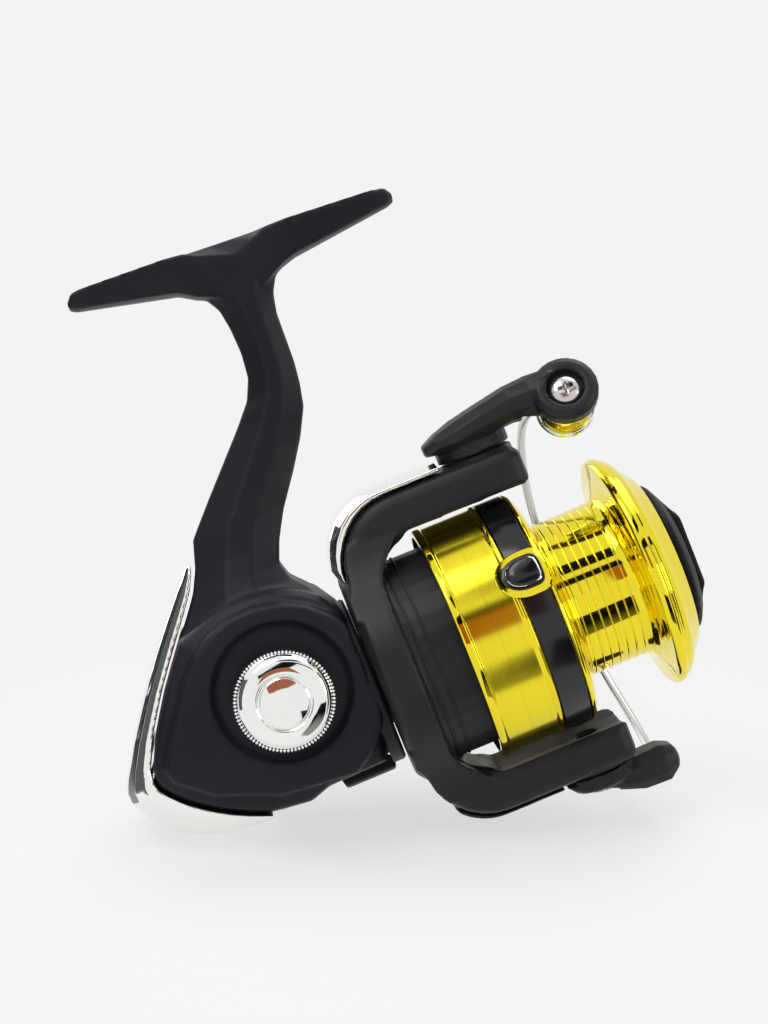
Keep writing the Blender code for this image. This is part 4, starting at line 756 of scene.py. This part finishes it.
class REEL_OT_bail(Build):
    """Makes the bail's two arms, its cone and its wire"""

    bl_idname = "reel.bail"
    bl_label = "Bail"

    def make(self):
        s = sizes()
        detail = s.arm_detail / MM * 0.75
        black = finish_of("black_moulding")
        keep(refined("upper_arm", "bail_arm", detail, 3, black), "bail", "bail_arm", "bail_arm")
        keep(refined("lower_arm", "bail_lever", detail, 4, black), "bail", "bail_lever", "bail_lever")
        cone = [(9.6, 1.9), (9.6, 4.9), (10.0, 5.2), (10.6, 5.1), (11.4, 4.2), (12.2, 2.6), (13.0, 1.7),
                (13.6, 1.2), (13.6, 0), (11.6, 0), (11.6, 1.9)]
        keep(lathe("wire_cone", filleted(cone, 0.3), ROLLER, finish_of("roller_steel"), 96), "bail",
             "bail_cone", "bail_cone")
        keep(self.wire(s.wire_radius), "bail", "bail_wire", "bail_wire")

    @staticmethod
    def wire(radius):
        """One smooth wire from the cone, round the spool's far side, to the lower arm."""
        route = [(32.5, -1.4, 29.9), (31.8, 4.0, 31.2), (29.4, 13.0, 32.2), (27.6, 22.5, 28.6),
                 (26.5, 33.3, 20.0), (26.0, 39.9, 9.5), (26.3, 40.9, -2.0), (26.3, 37.3, -13.0),
                 (26.5, 29.5, -21.5), (26.6, 19.5, -27.6), (26.3, 9.5, -32.3), (25.6, 4.2, -32.9),
                 (25.6, 1.0, -32.9)]
        ends = [route[0], *route, route[-1]]
        points = []
        for before, a, b, after in zip(ends, ends[1:], ends[2:], ends[3:]):
            for t in (i / 8 for i in range(8)):
                points.append(tuple(0.5 * (2 * q + (r - p) * t + (2 * p - 5 * q + 4 * r - v) * t**2
                                           + (3 * q - p - 3 * r + v) * t**3)
                                    for p, q, r, v in zip(before, a, b, after)))
        points.append(route[-1])
        curve = bpy.data.curves.new("bail_hoop", "CURVE")
        curve.dimensions = "3D"
        curve.bevel_depth = radius
        curve.bevel_resolution = 4
        curve.use_fill_caps = True
        spline = curve.splines.new("POLY")
        spline.points.add(len(points) - 1)
        for target, point in zip(spline.points, points):
            target.co = (*on_spool(*point), 1)
        return finish_mesh("bail_hoop", applied(in_scene("bail_hoop", curve)), finish_of("stainless"), 50)


class REEL_OT_line_roller(Build):
    """Turns the line roller: a waisted gold drum with bright rims"""

    bl_idname = "reel.line_roller"
    bl_label = "Line roller"

    def make(self):
        drum = [(4.5, 1.9), (4.5, 4.6), (5.3, 4.6), (6.0, 4.1), (6.8, 3.9), (7.8, 4.2), (8.5, 4.6),
                (9.3, 4.6), (9.3, 1.9)]
        keep(lathe("roller_drum", filleted(drum, 0.3), ROLLER, finish_of("roller_gold"), 96), "line_roller",
             "line_roller", "line_roller")
        for name, low, high in (("roller_outer_rim", 4.5, 4.9), ("roller_inner_rim", 8.9, 9.3)):
            rim = lathe(name, filleted([(low, 4.3), (low, 5.1), (high, 5.1), (high, 4.3)], 0.25), ROLLER,
                        finish_of("roller_steel"), 96)
            keep(rim, "line_roller", "line_roller")


class REEL_OT_screws(Build):
    """Makes the screws that show, each with a cross recess"""

    bl_idname = "reel.screws"
    bl_label = "Screws"

    def make(self):
        steel = finish_of("stainless")
        up = SPOOL_UP
        pivot = on_spool(15.5, 0, 0)
        upper_face, lower_face, rear_face = 0.0336, 0.0341, (-0.030, 0, -0.0963)
        places = [  # name, body, radius of the head, height of its dome, axis
            ("roller_screw", "bail", 2.75, 1.0, ROLLER @ Matrix.Translation((0, 0, 0.0006))),
            ("bail_arm_screw", "rotor", 3.2, 0.6, frame_on(pivot + up * upper_face, -up, (0, 1, 0))),
            ("bail_lever_screw", "rotor", 3.2, 0.6, frame_on(pivot - up * lower_face, up, (0, 1, 0))),
            ("handle_arm_screw", "handle", 3.0, 0.6, frame_on(self.face_of("handle_arm_screw"), (0, -1, 0))),
            ("rear_cover_screw", "housing", 2.2, 0.6, frame_on(rear_face, (0, 0, 1), (0, 1, 0))),
        ]
        for n in (1, 2, 3):
            name = f"cover_screw_{n}"
            places.append((name, "housing", 2.1, 0.6, frame_on(self.face_of(name), (0, -1, 0))))
        for name, body, head, dome, axis in places:
            keep(cross_screw(f"{name}_head", head, dome, axis, steel), body, name, name)

    @staticmethod
    def face_of(node):
        """The middle of a screw's outer face, on the handle's side."""
        low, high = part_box(node)
        return ((low[0] + high[0]) / 2, high[1], (low[2] + high[2]) / 2)


class REEL_OT_handle(Build):
    """Makes the handle: shank, arm, knob and the knob's end cap"""

    bl_idname = "reel.handle"
    bl_label = "Handle"

    def make(self):
        detail = sizes().arm_detail / MM * 0.8
        zinc = finish_of("cast_zinc")
        keep(refined("crank_arm", "handle_arm", detail, 6, zinc), "handle", "handle_arm", "handle_arm")
        shank = [(-2, 0), (-2, 2.0), (13.3, 2.0), (13.3, 3.6), (18.0, 3.6), (19.0, 4.6), (24.0, 4.2),
                 (39.0, 3.6), (46.7, 3.6), (46.7, 1.8), (41, 1.8), (41, 0)]
        keep(lathe("crank_shank", filleted(shank, 0.5), DRIVE, zinc, 96), "handle", "handle_shank",
             "handle_shank")
        start, length = 52.0, 24.0
        end = start + length
        grip = [(start, 2.1), (start, 5.2), (start + 0.5, 6.0), (start + 1.4, 6.2), (start + 4, 5.6),
                (start + 7, 5.7), (start + 11, 6.7), (end - 6.5, 8.5), (end - 4, 8.8), (end - 1.6, 8.4),
                (end - 0.3, 7.3), (end, 6.6), (end, 4.2), (end - 4.6, 4.2), (end - 4.6, 2.1)]
        keep(lathe("grip_body", filleted(grip, 0.6), KNOB, finish_of("grip_rubber"), 128), "knob",
             "handle_knob", "handle_knob")
        keep(rings_along("grip_rings", 5, start + 12.5, 1.6, 7.35, 0.5, finish_of("grip_rubber"), KNOB),
             "knob", "handle_knob")
        button = [(end - 2.6, 0), (end - 2.6, 3.8), (end + 0.1, 3.8), (end + 0.6, 3.3), (end + 0.8, 0)]
        keep(lathe("grip_button", filleted(button, 0.3), KNOB, finish_of("bright_plate"), 96), "knob",
             "knob_end_cap", "knob_end_cap")


class REEL_OT_inner_works(Build):
    """Gives the gears, bearings, shaft and drag stack their finishes"""

    bl_idname = "reel.inner_works"
    bl_label = "Inner works"

    def make(self):
        finishes = {
            "cast_zinc": ["drive_gear", "oscillation_gear", "slider"],
            "turned_brass": ["pinion_gear", "drag_nut"],
            "black_moulding": ["click_gear", "one_way_clutch", "bearing_retainer"],
            "drag_felt": ["drag_felt_1", "drag_felt_2", "drag_felt_3"],
        }
        given = {node: name for name, nodes in finishes.items() for node in nodes}
        for node, obj in frame["nodes"].items():
            for place in obj.material_slots:
                place.material = finish_of(given.get(node, "stainless"))


# ---------------------------------------------------------------- stage

LENS = 65.04
CAMERA_AT = (-0.006959, -0.322017, -0.028131)
MIDDLE = Vector((0.012, 0, -0.062))  # of the reel, where the lamps and cards face

# The reel's X, Y and Z as the camera sees them: to its right, up and towards it. TILT turns X and Z about Y.
ALONG = Vector((0.92492597, 0.37690947, -0.04950967))
ACROSS = Vector((-0.07587897, 0.05542932, -0.9955752))
ABOVE = Vector((-0.37249744, 0.92459009, 0.07986752))
TILT = math.radians(2.9)
VIEW = Matrix((ALONG * math.cos(TILT) - ABOVE * math.sin(TILT), ACROSS,
               ALONG * math.sin(TILT) + ABOVE * math.cos(TILT)))


class REEL_OT_stage(Build):
    """Sets the camera, the floor, the lamps, the cards that bright metal reflects, and the backdrop"""

    bl_idname = "reel.stage"
    bl_label = "Stage"

    def make(self):
        self.right, self.up, self.back = VIEW.col
        scene = bpy.context.scene
        scene.view_settings.view_transform = "Standard"
        lens = bpy.data.cameras.new("camera")
        lens.lens, lens.sensor_width, lens.clip_start, lens.clip_end = LENS, 36, 0.01, 20
        camera = in_scene("camera", lens)
        camera.matrix_world = Matrix.Translation(CAMERA_AT) @ VIEW.to_4x4()
        scene.camera = camera
        self.floor()
        self.world()
        power = sizes().key_power
        self.lamp("key_lamp", (-0.30, 0.46, 0.34), 0.34, power)
        self.lamp("top_lamp", (0.16, 0.62, -0.06), 0.42, power * 1.15)
        self.lamp("side_lamp", (0.62, 0.10, 0.30), 0.26, power * 0.45)
        self.lamp("back_lamp", (-0.45, 0.25, -0.5), 0.4, power * 0.5)
        dark, grey = (0.01, 0.01, 0.01), (0.05, 0.05, 0.05)
        pale, warm = (0.13, 0.14, 0.14), (0.50, 0.17, 0.09)
        self.flag("low_flag", (0.40, -0.34, 0.46), (0.42, 0.34), dark)
        self.flag("right_flag", (0.50, 0.02, 0.10), (0.16, 0.6), dark)
        self.flag("left_flag", (-0.55, 0.0, 0.10), (0.46, 0.42), pale)
        self.flag("far_left_flag", (-0.52, -0.05, -0.30), (0.30, 0.7), grey)
        self.flag("camera_flag", (0.10, 0.24, 0.44), (0.8, 0.075), dark)
        self.flag("upper_flag", (0.08, 0.43, 0.36), (0.36, 0.13), dark)
        self.flag("warm_flag", (-0.02, 0.07, 0.50), (0.24, 0.17), warm)

    def at(self, place):
        return MIDDLE + self.right * place[0] + self.up * place[1] + self.back * place[2]

    def facing(self, obj, place):
        spot = self.at(place)
        turn = (spot - MIDDLE).to_track_quat("Z", "Y").to_matrix()
        obj.matrix_world = Matrix.Translation(spot) @ turn.to_4x4()

    def lamp(self, name, place, width, power):
        data = bpy.data.lights.new(name, "AREA")
        data.shape, data.size, data.energy = "SQUARE", width, power
        self.facing(in_scene(name, data), place)

    def sheet(self, name, width, height):
        bm = bmesh.new()
        bmesh.ops.create_grid(bm, x_segments=1, y_segments=1, size=0.5)
        bmesh.ops.scale(bm, vec=(width, height, 1), verts=bm.verts)
        obj = in_scene(name, mesh_of(name, bm))
        return obj

    def flag(self, name, place, extent, shade):
        """A card that only shows in reflections."""
        card = self.sheet(name, *extent)
        self.facing(card, place)
        card.visible_camera = card.visible_diffuse = card.visible_shadow = False
        paint = new_paint(f"{name}_cloth")
        paint.set(Base_Color=rgba(shade), Roughness=1.0)
        paint.surface.inputs["Specular IOR Level"].default_value = 0
        card.data.materials.append(paint.block)

    def floor(self):
        """A pale floor under the reel's lowest points. It thins out to the backdrop away from the reel."""
        pitch = math.radians(12)
        normal = self.up * math.cos(pitch) + self.back * math.sin(pitch)
        lowest = min(normal.dot(v.co) for node in ("rear_cover", "rotor", "lower_arm_cover")
                     for v in frame["nodes"][node].data.vertices)
        floor = self.sheet("floor", 1.0, 1.0)
        clearance = 0.0004
        centre = MIDDLE + normal * (lowest - clearance - normal.dot(MIDDLE))
        floor.matrix_world = Matrix.Translation(centre) @ normal.to_track_quat("Z", "Y").to_matrix().to_4x4()
        paint = new_paint("pale_floor")
        spot = paint.node("ShaderNodeTexCoord", output="Object")
        reach = paint.node("ShaderNodeVectorMath", {"operation": "LENGTH"}, {0: spot}, "Value")
        near, far, thickest = 0.05, 0.14, 0.3
        fade = paint.spread(reach, near, far, thickest, 0.0, "SMOOTHSTEP")
        under = paint.node("ShaderNodeNewGeometry", output="Backfacing")
        paint.set(Base_Color=rgba(colours().ground), Roughness=1.0, Alpha=fade * (1 - under))
        paint.surface.inputs["Specular IOR Level"].default_value = 0
        floor.data.materials.append(paint.block)

    def world(self):
        world = bpy.data.worlds.new("studio")
        bpy.context.scene.world = world
        paint = Paint(world, "Background")
        ray = [paint.node("ShaderNodeLightPath", output=name) for name in
               ("Is Camera Ray", "Is Glossy Ray", "Is Transmission Ray")]
        seen = paint.node("ShaderNodeMath", {"operation": "ADD", "use_clamp": True},
                          {0: ray[0] + ray[1], 1: ray[2]})
        ambient = [0.5] * 3
        paint.set(Color=paint.blend(seen, rgba(ambient), rgba(colours().backdrop)), Strength=1.0)


# ---------------------------------------------------------------- add-on

STEPS = (REEL_OT_case, REEL_OT_rear_cover, REEL_OT_cap, REEL_OT_rotor, REEL_OT_spool, REEL_OT_line_clip,
         REEL_OT_drag_knob, REEL_OT_bail, REEL_OT_line_roller, REEL_OT_screws, REEL_OT_handle,
         REEL_OT_inner_works, REEL_OT_stage)


class REEL_PT_panel(bpy.types.Panel):
    """Lists the reel's steps, sizes and colours"""

    bl_idname = "REEL_PT_panel"
    bl_label = "Spinning Reel"
    bl_space_type = "VIEW_3D"
    bl_region_type = "UI"
    bl_category = "Reel"

    def draw(self, context):
        for step in STEPS:
            self.layout.operator(step.bl_idname)
        for group in (context.scene.reel_sizes, context.scene.reel_colours):
            for name in group.__annotations__:
                self.layout.prop(group, name)


CLASSES = (ReelSizes, ReelColours, *STEPS, REEL_PT_panel)


def register():
    for cls in CLASSES:
        bpy.utils.register_class(cls)
    bpy.types.Scene.reel_sizes = bpy.props.PointerProperty(type=ReelSizes)
    bpy.types.Scene.reel_colours = bpy.props.PointerProperty(type=ReelColours)


def unregister():
    del bpy.types.Scene.reel_sizes
    del bpy.types.Scene.reel_colours
    for cls in reversed(CLASSES):
        bpy.utils.unregister_class(cls)


def main():
    register()
    for step in STEPS:
        group, name = step.bl_idname.split(".")
        if getattr(getattr(bpy.ops, group), name)() != {"FINISHED"}:
            raise RuntimeError(f"{step.bl_label} did not finish")


if __name__ == "__main__":
    main()
